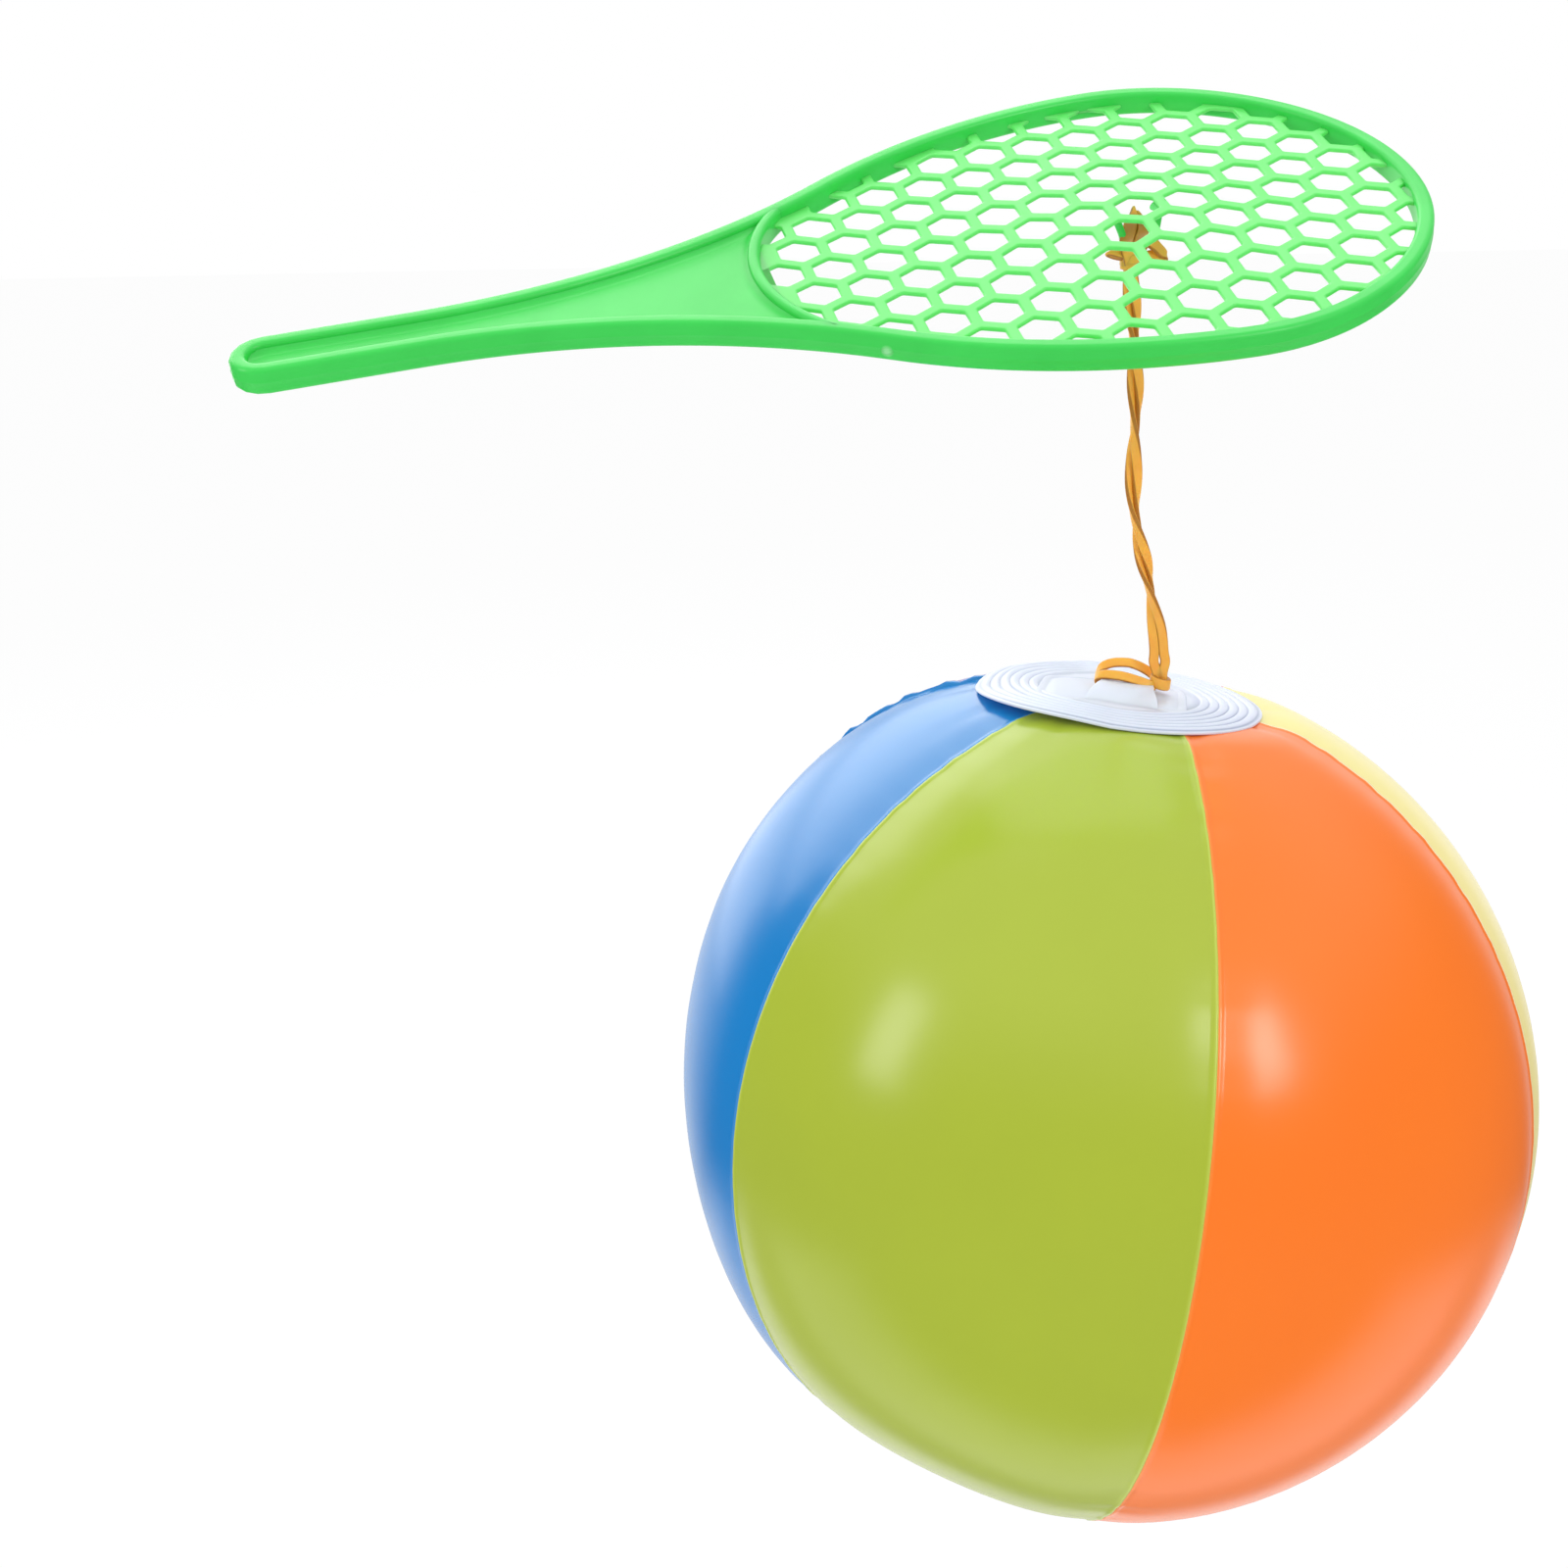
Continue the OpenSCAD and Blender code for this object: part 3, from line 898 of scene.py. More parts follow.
@dataclass(frozen=True)
class Paddle:
    """The green moulding: rim and handle bead, nose bar, web, honeycomb and hook."""

    hold: Hold = Hold()
    outline: Outline = Outline()
    rim_w: float = 3.2
    rim_h: float = 5.4
    rim_round: float = 1.05
    round_most: float = 0.46
    parting: float = 0.09
    parting_h: float = 0.3
    nose_at: float = 48.0
    nose_r: float = 38.0
    nose_w: float = 2.4
    web_t: float = 1.6
    web_fillet: float = 0.9
    fillet_w: float = 1.6
    # Share of the even spacing in the web's rows, which crowd towards the nose bar
    web_even: float = 0.35
    cell_pitch: float = 10.0
    bar_w: float = 2.3
    bar_round: float = 0.38
    cell_corner: float = 0.7
    cell_past: float = 2.0
    grid_top: float = 1.4
    grid_t: float = 0.9
    # The face's hill and dip and the rim's bow, each a bell: its height, its middle and spread along the
    # handle, and for the hill its middle and spread across it
    face_hill: tuple[float, ...] = (1.9, 125.9, 21.1, -4.3, 22.0)
    face_dip: tuple[float, ...] = (1.05, 72.9, 26.2)
    far_bow: tuple[float, ...] = (1.1, 130.0, 46.0)
    near_bow: tuple[float, ...] = (0.75, 143.0, 24.0)
    # How much less deep the rim is at its far side and tip, where along the handle that starts and ends,
    # and how it grows across the handle
    low_cut: float = 0.55
    far_cut: Pair = (70.0, 100.0)
    tip_cut: Pair = (150.0, 175.0)
    far_gain: float = 1.4
    tip_lead: float = 0.6
    rim_step: float = 1.7
    # Rows and columns of cells to each side of the hook, and how near a wall a tile still reaches it
    grid_rows: int = 7
    grid_columns: int = 14
    tile_past: float = 8.5
    gate_turn: float = 56.7
    gate_z: float = -0.6
    gate_proud: float = 0.15
    # Half the length of the gate's stub, half its height, how far it stands out and how deep it goes in
    gate_size: tuple[float, ...] = (1.3, 0.6, 0.45, 0.6)

    @property
    def nose_x(self) -> float:
        """Place of the nose bar's centre along the handle."""
        return self.nose_at + self.nose_r

    @property
    def nose_mid(self) -> float:
        """Radius of the middle of the nose bar."""
        return self.nose_r - self.nose_w / 2

    def bead_section(self, width: float) -> tuple[Array, Array]:
        """The rim's section: an upright bar with round corners and a fine parting line outside.

        Args:
            width: its thickness seen from above.

        Returns:
            The section outwards and upwards.
        """
        corner = min(self.rim_round, self.round_most * width)
        sign_x, sign_y, off_x, off_y = corner_section(corner, 6)
        x = sign_x * (width / 2 - corner) + off_x
        y = sign_y * (self.rim_h / 2 - corner) + off_y
        line_x = width / 2 + self.parting * np.array([0, 1, 1, 0])
        line_y = self.parting_h * np.array([-1, -1 / 3, 1 / 3, 1])
        return np.concatenate([line_x, x]), np.concatenate([line_y, y])

    def bow(self, x: Array, y: Array) -> Array:
        """How far the rim has bowed out of its plane: up on the far side and down on the near side.

        Args:
            x: places along the handle.
            y: places across it.

        Returns:
            The rise at each place, a bell along the handle times the share of the half width.
        """
        share = 2 * y / self.outline.head_w
        (rise, *far), (drop, *near) = self.far_bow, self.near_bow
        return rise * bump(x, *far) * np.clip(share, 0, 1) + drop * bump(x, *near) * np.clip(share, -1, 0)

    def rim(self) -> Shell:
        """The rim: its section carried round the outline, bowed, and less deep at the far side and tip.

        Returns:
            The closed shell.
        """
        places, outward = self.outline.trace(self.rim_w / 2, self.rim_step)
        share = 2 * places[:, 1] / self.outline.head_w
        far = ease(self.far_gain * share) * ramp(places[:, 0], *self.far_cut)
        tip = ramp(places[:, 0], *self.tip_cut) * ease(share + self.tip_lead)
        cut = self.low_cut * np.maximum(far, tip)
        line = np.column_stack([places, self.bow(places[:, 0], places[:, 1]) + cut / 2])
        side = np.column_stack([outward, np.zeros(len(places))])
        up = np.outer(1 - cut / self.rim_h, UP)
        x, y = self.bead_section(self.rim_w)
        return carried(line, side, up, x, y, True)

    def nose_turn(self) -> float:
        """Angle at which the middle of the nose bar meets the middle of a bead.

        Returns:
            The angle in degrees, by the law of cosines on the two circles' centres and radii.
        """
        shape = self.outline
        reach = shape.flare_r + self.rim_w / 2
        apart = math.hypot(shape.flare_x - self.nose_x, shape.flare_y)
        cosine = (self.nose_mid**2 + apart**2 - reach**2) / (2 * self.nose_mid * apart)
        lean = math.atan2(shape.flare_y, shape.flare_x - self.nose_x)
        return math.degrees(lean + math.acos(cosine))

    def nose_end(self) -> float:
        """Place along the handle up to which the nose bar reaches."""
        return self.nose_x + self.nose_mid * math.cos(math.radians(self.nose_turn()))

    def nose(self) -> Shell:
        """The nose bar: the same section along an arc from bead to bead.

        Returns:
            The shell, whose ends lie inside the beads.
        """
        start = self.nose_turn()
        ray = bearing(np.radians(np.linspace(start, 360 - start, 56)))
        line = np.array([self.nose_x, 0, 0]) + self.nose_mid * ray
        x, y = self.bead_section(self.nose_w)
        return carried(line, ray, UP, x, y, False)

    def web(self) -> Shell:
        """The web: a plate from bead to bead that thickens in a fillet along them and the nose bar.

        Its grid runs from the butt to the nose bar and from side to side; the share of the half width
        goes from even at the butt to the nose bar's own angles at its end.

        Returns:
            The shell, top and underside.
        """
        shape = self.outline
        u = np.linspace(0, 1, 90)[:, None]
        v = np.sin(np.linspace(-np.pi / 2, np.pi / 2, 41))[None, :]
        lean = np.radians(180 - v * (180 - self.nose_turn()))
        end_x = self.nose_x + self.nose_mid * np.cos(lean)
        end_y = self.nose_mid * np.sin(lean)
        inset = self.rim_w / 2
        butt = shape.butt_x - (shape.handle_w / 2 - inset)
        along = self.web_even * u + (1 - self.web_even) * np.sin(u * np.pi / 2)
        x = butt + (end_x - butt) * along
        share_end = end_y / shape.half_width(end_x, inset)
        share = v + (share_end - v) * u**3
        half = shape.half_width(x, inset)
        y = half * share
        wall = half - self.rim_w / 2 - np.abs(y)
        bar = np.hypot(x - self.nose_x, y) - self.nose_r
        near = np.minimum(wall, bar)
        rise = self.web_t / 2 + self.web_fillet * np.clip(1 - near / self.fillet_w, 0, 1) ** 2
        top = np.stack([x, y, rise], axis=-1)
        under = np.stack([x, y, -rise], axis=-1)[:, ::-1]
        return grid_shell(np.concatenate([top, under], axis=1), False, True)

    def warp(self, x: Array, y: Array) -> Array:
        """How far the thin honeycomb has warped out of its plane, as the cells in the photograph show.

        It is a hill round the hook less a dip next to the nose bar, each a bell.

        Args:
            x: places along the handle.
            y: places across it.

        Returns:
            The rise at each place.
        """
        rise, x_middle, x_spread, y_middle, y_spread = self.face_hill
        drop, *dip = self.face_dip
        hill = rise * bump(x, x_middle, x_spread) * bump(y, y_middle, y_spread)
        return hill - drop * bump(x, *dip)

    def hook(self) -> Shell:
        """The hook: a staple whose two legs lean towards each other and flare into the honeycomb.

        Stops are a place along the handle, a height and the bar's radius.

        Returns:
            A round section carried along the staple.
        """
        low = self.hold.hook_z
        root = self.grid_top - self.grid_t + float(self.warp(self.hold.hook_x, 0.0))
        stops = np.array(
            [
                [-4.95, root + 0.4, 0.95], [-4.75, root - 0.3, 0.85], [-4.1, root - 1.4, 0.78],
                [-2.75, low + 2.6, 0.74], [-2.35, low + 0.9, 0.74], [-1.6, low + 0.06, 0.78],
                [0.8, low, 0.8], [3.2, low + 0.06, 0.78], [3.9, low + 0.9, 0.74], [4.2, low + 2.6, 0.74],
                [4.6, root - 1.2, 0.82], [4.5, root - 0.3, 1.4], [4.3, root + 0.2, 1.7],
            ]
        )
        rows = smooth_path(np.insert(stops, 1, 0.0, axis=1), 80)
        line = rows[:, :3] + np.array([self.hold.hook_x, 0.0, 0.0])
        along = unit(np.gradient(line, axis=0))
        face = np.cross(along, BACK)
        angle, radius = circle(24), rows[:, 3:]
        return carried(line, BACK, face, radius * np.cos(angle), radius * np.sin(angle), False)

    def gate_at(self) -> tuple[Array, Array]:
        """Where the gate's stub stands: on the near flare's arc, a little outside the rim.

        Returns:
            Its middle and its outward direction.
        """
        shape = self.outline
        ray = bearing(math.radians(self.gate_turn))
        centre = np.array([shape.flare_x, -shape.flare_y, self.gate_z])
        return centre + (shape.flare_r + self.gate_proud) * ray, -ray

    def gate(self) -> Shell:
        """The gate's stub: a low half ellipsoid on the rim.

        Returns:
            The shell, closed by a point inside the rim.
        """
        middle, ray = self.gate_at()
        tangent = np.array([-ray[1], ray[0], 0.0])
        half_l, half_h, out, deep = self.gate_size
        share = np.linspace(0, 1, 7)[:, None, None]
        around = circle(20)[None, :, None]
        dome = middle + out * np.sqrt(1 - share**2) * ray
        dome = dome + half_l * share * np.cos(around) * tangent
        dome = dome + half_h * share * np.sin(around) * UP
        back = np.broadcast_to(middle - deep * ray, dome[:1].shape)
        return grid_shell(np.concatenate([dome, back]), False, True)

    def hexagon(self, apothem: Array, open_share: Array) -> Array:
        """Rings of 24 points round hexagons with flat sides towards x, four points to a side.

        Args:
            apothem: distance of a ring's sides from its middle, one for each ring.
            open_share: 0 for a plain hexagon with even points, 1 for one with rounded corners.

        Returns:
            Rings by 24 by 2.
        """
        a, share = apothem[:, None], open_share[:, None]
        side_l = 2 * a / math.sqrt(3)
        inset = (1 - share) * side_l / 4 + share * self.cell_corner * math.tan(math.radians(30))
        cut = share * self.cell_corner * (2 / math.sqrt(3) - 1)
        facing = np.radians(60 * np.arange(6))[None, :]
        normal = bearing(facing)[..., :2]
        along = normal[..., ::-1] * np.array([-1.0, 1.0])
        corner = bearing(facing - np.pi / 6)[..., :2] * (side_l - cut)[..., None]
        steps = (inset - side_l / 2, 0 * side_l, side_l / 2 - inset)
        flats = [normal * a[..., None] + along * step[..., None] for step in steps]
        return np.stack([corner, *flats], axis=2).reshape(len(apothem), 24, 2)

    def honeycomb(self) -> Shell:
        """The honeycomb: a tile for each cell, from the middle of its bars over their rounded edge.

        A tile that the rim or the nose bar cuts is pulled back to the middle of that wall, and a tile
        whose cell would lie too far outside is left solid.

        Returns:
            The shell, open only inside the rim, where make_piece closes it.
        """
        shape, pitch = self.outline, self.cell_pitch
        row, column = np.meshgrid(
            np.arange(-self.grid_rows, self.grid_rows + 1),
            np.arange(-self.grid_columns, self.grid_columns + 1),
            indexing="ij",
        )
        row, column = row.ravel(), column.ravel()
        x = self.hold.hook_x + (column + 0.5 * (row % 2)) * pitch
        y = row * pitch * math.sqrt(3) / 2
        centres = np.column_stack([x, y])
        wall = shape.past_wall(centres, self.rim_w)[0]
        half = np.where(
            x > shape.tip_x,
            np.sqrt(np.clip(shape.tip_r**2 - (x - shape.tip_x) ** 2, 0, None)),
            np.sqrt(np.clip(shape.shoulder_r**2 - (shape.tip_x - x) ** 2, 0, None)) - shape.shoulder_y,
        )
        nose = np.hypot(x - self.nose_x, y)
        free = x > self.nose_end()
        within = free | (nose < self.nose_r - self.nose_w + self.cell_past)
        cell = within & (np.abs(y) < half - self.rim_w + self.cell_past)
        close = (wall < self.tile_past) & (free | (nose < self.nose_r - self.nose_w + self.tile_past))
        top, low = self.grid_top, self.grid_top - self.grid_t
        edge, hole = self.bar_round, self.bar_w / 2
        quarter = np.radians(np.linspace(0, 90, 4))
        round_d = hole - edge + edge * np.sin(quarter)
        round_z = edge - edge * np.cos(quarter)
        upper = np.column_stack([np.r_[0, 0.5 * (hole - edge), round_d], np.r_[0, 0, -round_z] + top])
        lower = upper[::-1] * [1, -1] + [0, top + low]
        profile = np.vstack([upper, lower])
        share = np.clip(profile[:, 0] / (hole - edge), 0, 1)
        ring = self.hexagon(pitch / 2 - profile[:, 0], share)
        tiles = [self.tiles(centres[cell & close], ring, profile[:, 1])]
        plug = centres[close & ~cell]
        shrink = np.array([1.0, 0.5, 0.0]) * pitch / 2
        flat = self.hexagon(shrink, np.zeros(3))
        tiles.append(self.tiles(plug, flat, np.full(3, top)))
        tiles.append(self.tiles(plug, flat, np.full(3, low)))
        return joined(tiles)

    def tiles(self, centres: Array, ring: Array, height: Array) -> Shell:
        """Copies of one tile at many centres, pulled back to the middle of the walls.

        Args:
            centres: the middles of the tiles.
            ring: the tile's rings, rings by points by 2.
            height: height of each ring.

        Returns:
            The shell, without the faces that end up on the wall.
        """
        rings, around = ring.shape[:2]
        xy = centres[:, None, None, :] + ring[None]
        far, ray = self.outline.past_wall(xy, self.rim_w / 2)
        xy = xy - ray * np.clip(far, 0, None)[..., None]
        arm = xy - np.array([self.nose_x, 0.0])
        reach = np.linalg.norm(arm, axis=-1)
        past = np.where(xy[..., 0] < self.nose_end(), reach - self.nose_mid, -1.0)
        xy = xy - unit(arm) * np.clip(past, 0, None)[..., None]
        z = height[None, :, None] + self.warp(xy[..., 0], xy[..., 1])
        points = np.concatenate([xy, z[..., None]], axis=-1).reshape(-1, 3)
        quads = grid_quads(rings, around, False, True)
        starts = np.arange(len(centres)) * rings * around
        quads = (quads[None] + starts[:, None, None]).reshape(-1, 4)
        held = (np.maximum(far, past) > -TOUCH).reshape(-1)
        return Shell(points, quads[~held[quads].all(axis=1)])

    def build(self) -> list[Object]:
        """Makes the frame of the paddle with its hook, and its honeycomb.

        Returns:
            The two pieces.
        """
        place = self.hold.paddle()
        solid = joined([self.rim(), self.nose(), self.web(), self.hook(), self.gate()])
        finish = replace(RIM_GREEN, gate=tuple(place.out(self.gate_at()[0]).tolist()))
        nodes = ("head_rim", "handle_frame", "band_hook")
        frame = make_piece("paddle_frame", solid.placed(place), finish, Slot.RIM, nodes, Body.PADDLE)
        cells = self.honeycomb().placed(place)
        nodes = ("honeycomb_face",)
        face = make_piece("paddle_honeycomb", cells, GRID_GREEN, Slot.GRID, nodes, Body.PADDLE, fill=True)
        return [frame, face]


@dataclass(frozen=True)
class RubberBand:
    """The band: its eye on the hook, two twisted strands, and its hitch on the ball's lug."""

    hold: Hold = Hold()
    strand_w: float = 1.98
    strand_t: float = 1.0
    eye_drop: float = 5.3
    knot_z: float = 92.55
    neck_l: float = 9.0
    neck_lean: float = -1.4
    foot_right: float = 0.45
    twist_offset: float = 0.78
    flat_offset: float = 0.97
    slit_depth: float = 84.6
    slit: float = 0.28
    slit_spread: float = 1.4
    stack_angle: float = 40.0
    # Share of the drop, and how far the band leans to the right there
    lean: tuple[Pair, ...] = (
        (0.0, -0.075), (0.15, 0.06), (0.34, 0.18), (0.5, 0.205), (0.62, 0.25),
        (0.7, 0.385), (0.79, 0.58), (0.9, 0.82), (1.0, 1.0),
    )
    # Depth under the hook, and the angle that the pair has turned there
    twist: tuple[Pair, ...] = (
        (0.0, -300.0), (14.5, -165.0), (28.6, 0.0), (38.1, 90.0), (47.5, 180.0),
        (57.0, 270.0), (63.8, 360.0), (70.6, 450.0), (79.0, 540.0), (96.0, 545.0),
    )
    twist_start: float = -10.1
    # Rows to each side over which the twist is evened out
    twist_blur: int = 8
    # The middle line's first stop from the eye's knot, and its last ones from the top of the wrap
    line_start: Triple = (-0.6, 0.0, 2.4)
    line_ends: tuple[Triple, ...] = ((-0.1, 0.0, 1.0), (0.1, 0.0, -1.6))
    # Share by which a strip's width varies, and the depth for a radian of that wave
    width_wave: Pair = (0.04, 6.3)
    # Share of the thickness that is left where the strip is folded tight
    folded: float = 0.9
    # Depths between which the strips come side by side, and between which they close up over the wrap
    flat_span: Pair = (68.0, 79.0)
    close_span: Pair = (83.5, 88.5)
    close_share: float = 0.55
    knot_drop: float = 3.4
    knot_left: float = 0.6
    knot_w: float = 1.9
    # Height, radius and tilt of each turn of the knot under the hook
    knot_turns: tuple[Triple, ...] = ((0.7, 1.75, 0.3), (-0.9, 1.65, -0.26))
    # Over the disc, the wrap's height, its radius with its two swells and the shift of the second, and how
    # far it tilts and from where
    wrap_z: float = 2.95
    wrap_w: float = 2.4
    wrap_r: tuple[float, ...] = (1.62, 0.12, 0.1, 0.6)
    wrap_tilt: Pair = (0.3, 0.4)
    lug_z: float = 88.75
    cord_d: float = 3.0

    def knot(self) -> Array:
        """The top of the wrap, where the strands go into the hitch."""
        return self.hold.ball().out(np.array([0.0, 0.0, self.knot_z]))

    def top(self) -> Array:
        """The underside of the eye's knot, where the strands come out."""
        return self.hold.hook() - np.array([0, 0, self.eye_drop])

    def line(self, count: int) -> Array:
        """The middle line of the two strands, from inside the eye's knot to inside the wrap.

        Args:
            count: number of places.

        Returns:
            The places.
        """
        top, knot = self.top(), self.knot()
        foot = knot + np.array([self.neck_lean + self.foot_right, 0, self.neck_l])
        share, lean = np.array(self.lean).T
        drop = foot - top
        body = top + np.column_stack([drop[0] * lean, drop[1] * share, drop[2] * share])
        start = top + np.array([self.line_start])
        end = knot + np.array(self.line_ends)
        return smooth_path(np.vstack([start, body, end]), count)

    def strands(self) -> tuple[Shell, Array]:
        """Two flat strips twisted round the middle line, side by side over the knot.

        Each strip's middle lies at an offset from the line in a direction that turns with the depth,
        and its width is turned from that direction by the stack angle, which dies away at the foot.

        Returns:
            The shell and the middle line.
        """
        line = self.line(220)
        depth = self.hold.hook()[2] - line[:, 2]
        at, angle = np.array(self.twist).T
        turned = np.radians(np.interp(depth, at, angle) + self.twist_start)
        window = 2 * self.twist_blur + 1
        padded = np.pad(turned, self.twist_blur, mode="edge")
        smooth = np.convolve(padded, np.ones(window) / window, mode="valid")
        flat = ramp(depth, *self.flat_span)
        offset = self.twist_offset + (self.flat_offset - self.twist_offset) * flat
        offset = offset * (1 - self.close_share * ramp(depth, *self.close_span))
        offset = offset + self.slit * bump(depth, self.slit_depth, self.slit_spread)
        facing = smooth + np.radians(self.stack_angle) * (1 - flat)
        ray, side = bearing(smooth), bearing(facing)
        vary, pace = self.width_wave
        width = self.strand_w * (1 + vary * np.sin(depth / pace))
        pair = [strip(line + sign * offset[:, None] * ray, side, width, self.strand_t) for sign in (1, -1)]
        return joined(pair), line

    def eye(self) -> Shell:
        """The eye: two turns over the hook's bar that stand up to a point, the knot and its loose ends.

        Stops are given along the bar, away from the near side, and up, from the middle of the bar, with the
        strip's width and how much browner it is drawn: the doubled rubber's own darker tone, with painted
        shade where the eye lies under the honeycomb.

        Returns:
            The shell, in the frame of the solids.
        """
        bar = self.hold.paddle().turned(RIGHT)
        frame = np.stack([bar, BACK, np.cross(bar, BACK)])
        turns = (
            [
                [-1.5, -0.6, -4.4, 2.4, 0.3], [-1.75, -1.5, -2.6, 2.6, 0.5], [-2.15, -1.65, -0.4, 2.7, 0.9],
                [-2.1, -1.35, 1.1, 2.7, 0.95], [-1.3, -0.7, 2.5, 2.7, 0.95], [-0.5, 0.0, 3.9, 2.6, 0.95],
                [0.5, 0.9, 5.1, 1.8, 0.9], [1.0, 1.75, 6.35, 0.7, 0.7], [1.1, 2.3, 6.45, 0.7, 0.7],
                [0.9, 2.6, 5.1, 1.5, 0.9], [0.3, 2.5, 3.0, 2.3, 0.9], [-0.2, 1.9, 0.0, 2.4, 0.9],
                [-0.3, 1.2, -2.2, 2.4, 0.5], [-0.4, 0.4, -4.4, 2.2, 0.3],
            ],
            [
                [0.3, -0.6, -4.2, 2.2, 0.3], [-0.2, -1.3, -1.4, 2.3, 0.8], [0.4, -1.3, 0.5, 2.3, 0.95],
                [1.5, -0.9, 2.1, 2.2, 0.95], [1.85, 0.1, 3.6, 2.0, 0.95], [1.8, 1.1, 4.9, 1.2, 0.9],
                [1.75, 1.7, 5.6, 0.6, 0.75], [1.75, 2.2, 5.3, 0.8, 0.8], [2.0, 2.3, 3.6, 1.7, 0.9],
                [1.6, 1.9, 0.4, 2.1, 0.9], [0.8, 1.1, -2.0, 2.1, 0.5], [0.3, 0.3, -4.2, 2.0, 0.3],
            ],
        )
        ends = (
            [
                [0.2, -0.9, -2.0, 2.1, 0.4], [1.6, -1.1, 0.0, 2.3, 0.5], [2.4, -1.2, 0.25, 2.6, 0.5],
                [3.4, -1.3, -0.55, 2.8, 0.45], [4.4, -1.4, -1.8, 2.7, 0.4], [5.2, -1.5, -2.85, 2.3, 0.5],
                [5.1, -1.4, -3.3, 2.0, 0.6], [4.1, -1.3, -3.0, 2.0, 0.5], [2.7, -1.2, -2.5, 2.0, 0.4],
                [0.8, -0.8, -2.6, 2.0, 0.4],
            ],
            [
                [-1.4, -0.9, -2.2, 1.8, 0.4], [-3.0, -1.0, -1.6, 1.7, 0.45], [-4.5, -0.9, -1.0, 1.5, 0.5],
                [-5.7, -0.8, -0.85, 0.7, 0.6], [-5.8, -0.5, -1.15, 0.7, 0.6], [-4.5, -0.3, -1.6, 1.3, 0.5],
                [-2.8, -0.2, -2.1, 1.5, 0.4], [-1.2, -0.2, -2.6, 1.6, 0.4],
            ],
        )
        shells = [self.turn_of_band(np.array(stops), frame, bar) for stops in turns]
        knot = self.hold.hook() - np.array([self.knot_left, 0, self.knot_drop])
        ray = bearing(circle(48))[:, :2]
        for height, radius, tilt in self.knot_turns:
            ring = knot + np.column_stack([radius * ray, height + tilt * radius * ray[:, 0]])
            shells.append(strip(ring, UP, self.knot_w, self.strand_t, True))
        slant = np.array([0.0, 0.55, 0.85])
        shells += [self.turn_of_band(np.array(stops), frame, slant) for stops in ends]
        return joined(shells)

    def turn_of_band(self, stops: Array, frame: Array, side: Array) -> Shell:
        """One piece of the band round the hook.

        Args:
            stops: rows of a place in the hook's frame, the strip's width and its brownness, partly painted
                shade.
            frame: the hook's three directions, one in a row.
            side: direction of the strip's width.

        Returns:
            The shell, in the frame of the solids.
        """
        rows = smooth_path(stops, 12 * len(stops))
        path = self.hold.hook() + rows[:, :3] @ frame
        shell = strip(path, side, rows[:, 3], self.folded * self.strand_t)
        per_ring = len(shell.points) // (len(path) + 2)
        # Painted shade: the stops' brownness raises the edge mark, so the doubled rubber is drawn browner,
        # partly for its own tone and partly for shade under the honeycomb
        brown_and_shade = np.repeat(np.concatenate([rows[:1, 4], rows[:, 4], rows[-1:, 4]]), per_ring)
        shell.marks["edge"] = np.maximum(shell.marks["edge"], brown_and_shade)
        return shell

    def hitch(self) -> Shell:
        """The girth hitch on the lug: under the bridge, round its far end, and back over it in two legs.

        Stops are places in the lug's frame above the disc, and the direction of the strip's width, which
        lies flat under the bridge and stands on edge over it.

        Returns:
            The shell, in the frame of the lug's end of the ball.
        """
        front = [
            [-1.0, -1.0, 2.2, 0.55, 0.85], [-1.9, -1.7, 2.35, 0.5, 0.87], [-3.3, -1.9, 2.75, 0.5, 0.87],
            [-4.7, -1.95, 3.05, 0.5, 0.87], [-6.4, -1.95, 3.35, 0.5, 0.87], [-8.0, -1.9, 3.52, 0.5, 0.87],
            [-9.8, -1.8, 3.5, 0.5, 0.87], [-11.5, -1.6, 3.3, 0.6, 0.8], [-12.6, -1.35, 2.75, 0.8, 0.6],
            [-12.9, -1.15, 1.9, 1.0, 0.2], [-12.3, -1.1, 1.15, 1.0, 0.0],
        ]
        back = [
            [-0.7, 0.7, 3.0, 0.55, 0.85], [-1.2, 1.3, 3.7, 0.5, 0.87], [-2.3, 1.9, 4.3, 0.5, 0.87],
            [-4.0, 2.1, 5.0, 0.5, 0.87], [-5.2, 2.2, 5.33, 0.5, 0.87], [-6.8, 2.2, 5.6, 0.5, 0.87],
            [-9.1, 2.1, 5.4, 0.5, 0.87], [-10.6, 1.9, 5.0, 0.5, 0.87], [-11.8, 1.6, 4.35, 0.6, 0.8],
            [-12.5, 1.35, 3.4, 0.8, 0.6], [-12.85, 1.15, 2.1, 1.0, 0.2], [-12.3, 1.1, 1.2, 1.0, 0.0],
        ]
        under = [
            [-10.6, 1.1, 1.0, 1.0, 0.0], [-7.9, 1.1, 1.0, 1.0, 0.0], [-4.6, 1.1, 1.05, 1.0, 0.0],
            [-2.4, 1.0, 1.5, 1.0, 0.0], [-1.0, 0.8, 2.0, 1.0, 0.0],
        ]
        shells = []
        for leg, side in ((front, -1.0), (back, 1.0)):
            stops = np.vstack([leg, np.array(under) * [1.0, side, 1.0, 1.0, 1.0]])
            rows = smooth_path(stops, 170)
            width = np.column_stack([np.zeros(len(rows)), rows[:, 3:]])
            shells.append(strip(rows[:, :3], width, self.strand_w, self.strand_t))
        turns = circle(TURN_STEPS)
        mean, once, twice, shift = self.wrap_r
        tilt, tilt_from = self.wrap_tilt
        swell = mean + once * np.cos(turns) + twice * np.cos(2 * turns + shift)
        height = self.wrap_z - tilt * np.cos(turns + tilt_from)
        ring = np.column_stack([swell * np.cos(turns), swell * np.sin(turns), height])
        shells.append(strip(ring, UP, self.wrap_w, self.strand_t, True))
        tail = np.array([[-1.2, -1.7, 2.2], [-2.0, -2.0, 1.6], [-2.6, -2.2, 1.0]])
        rows = smooth_path(np.column_stack([tail, [1.9, 1.4, 0.6]]), 20)
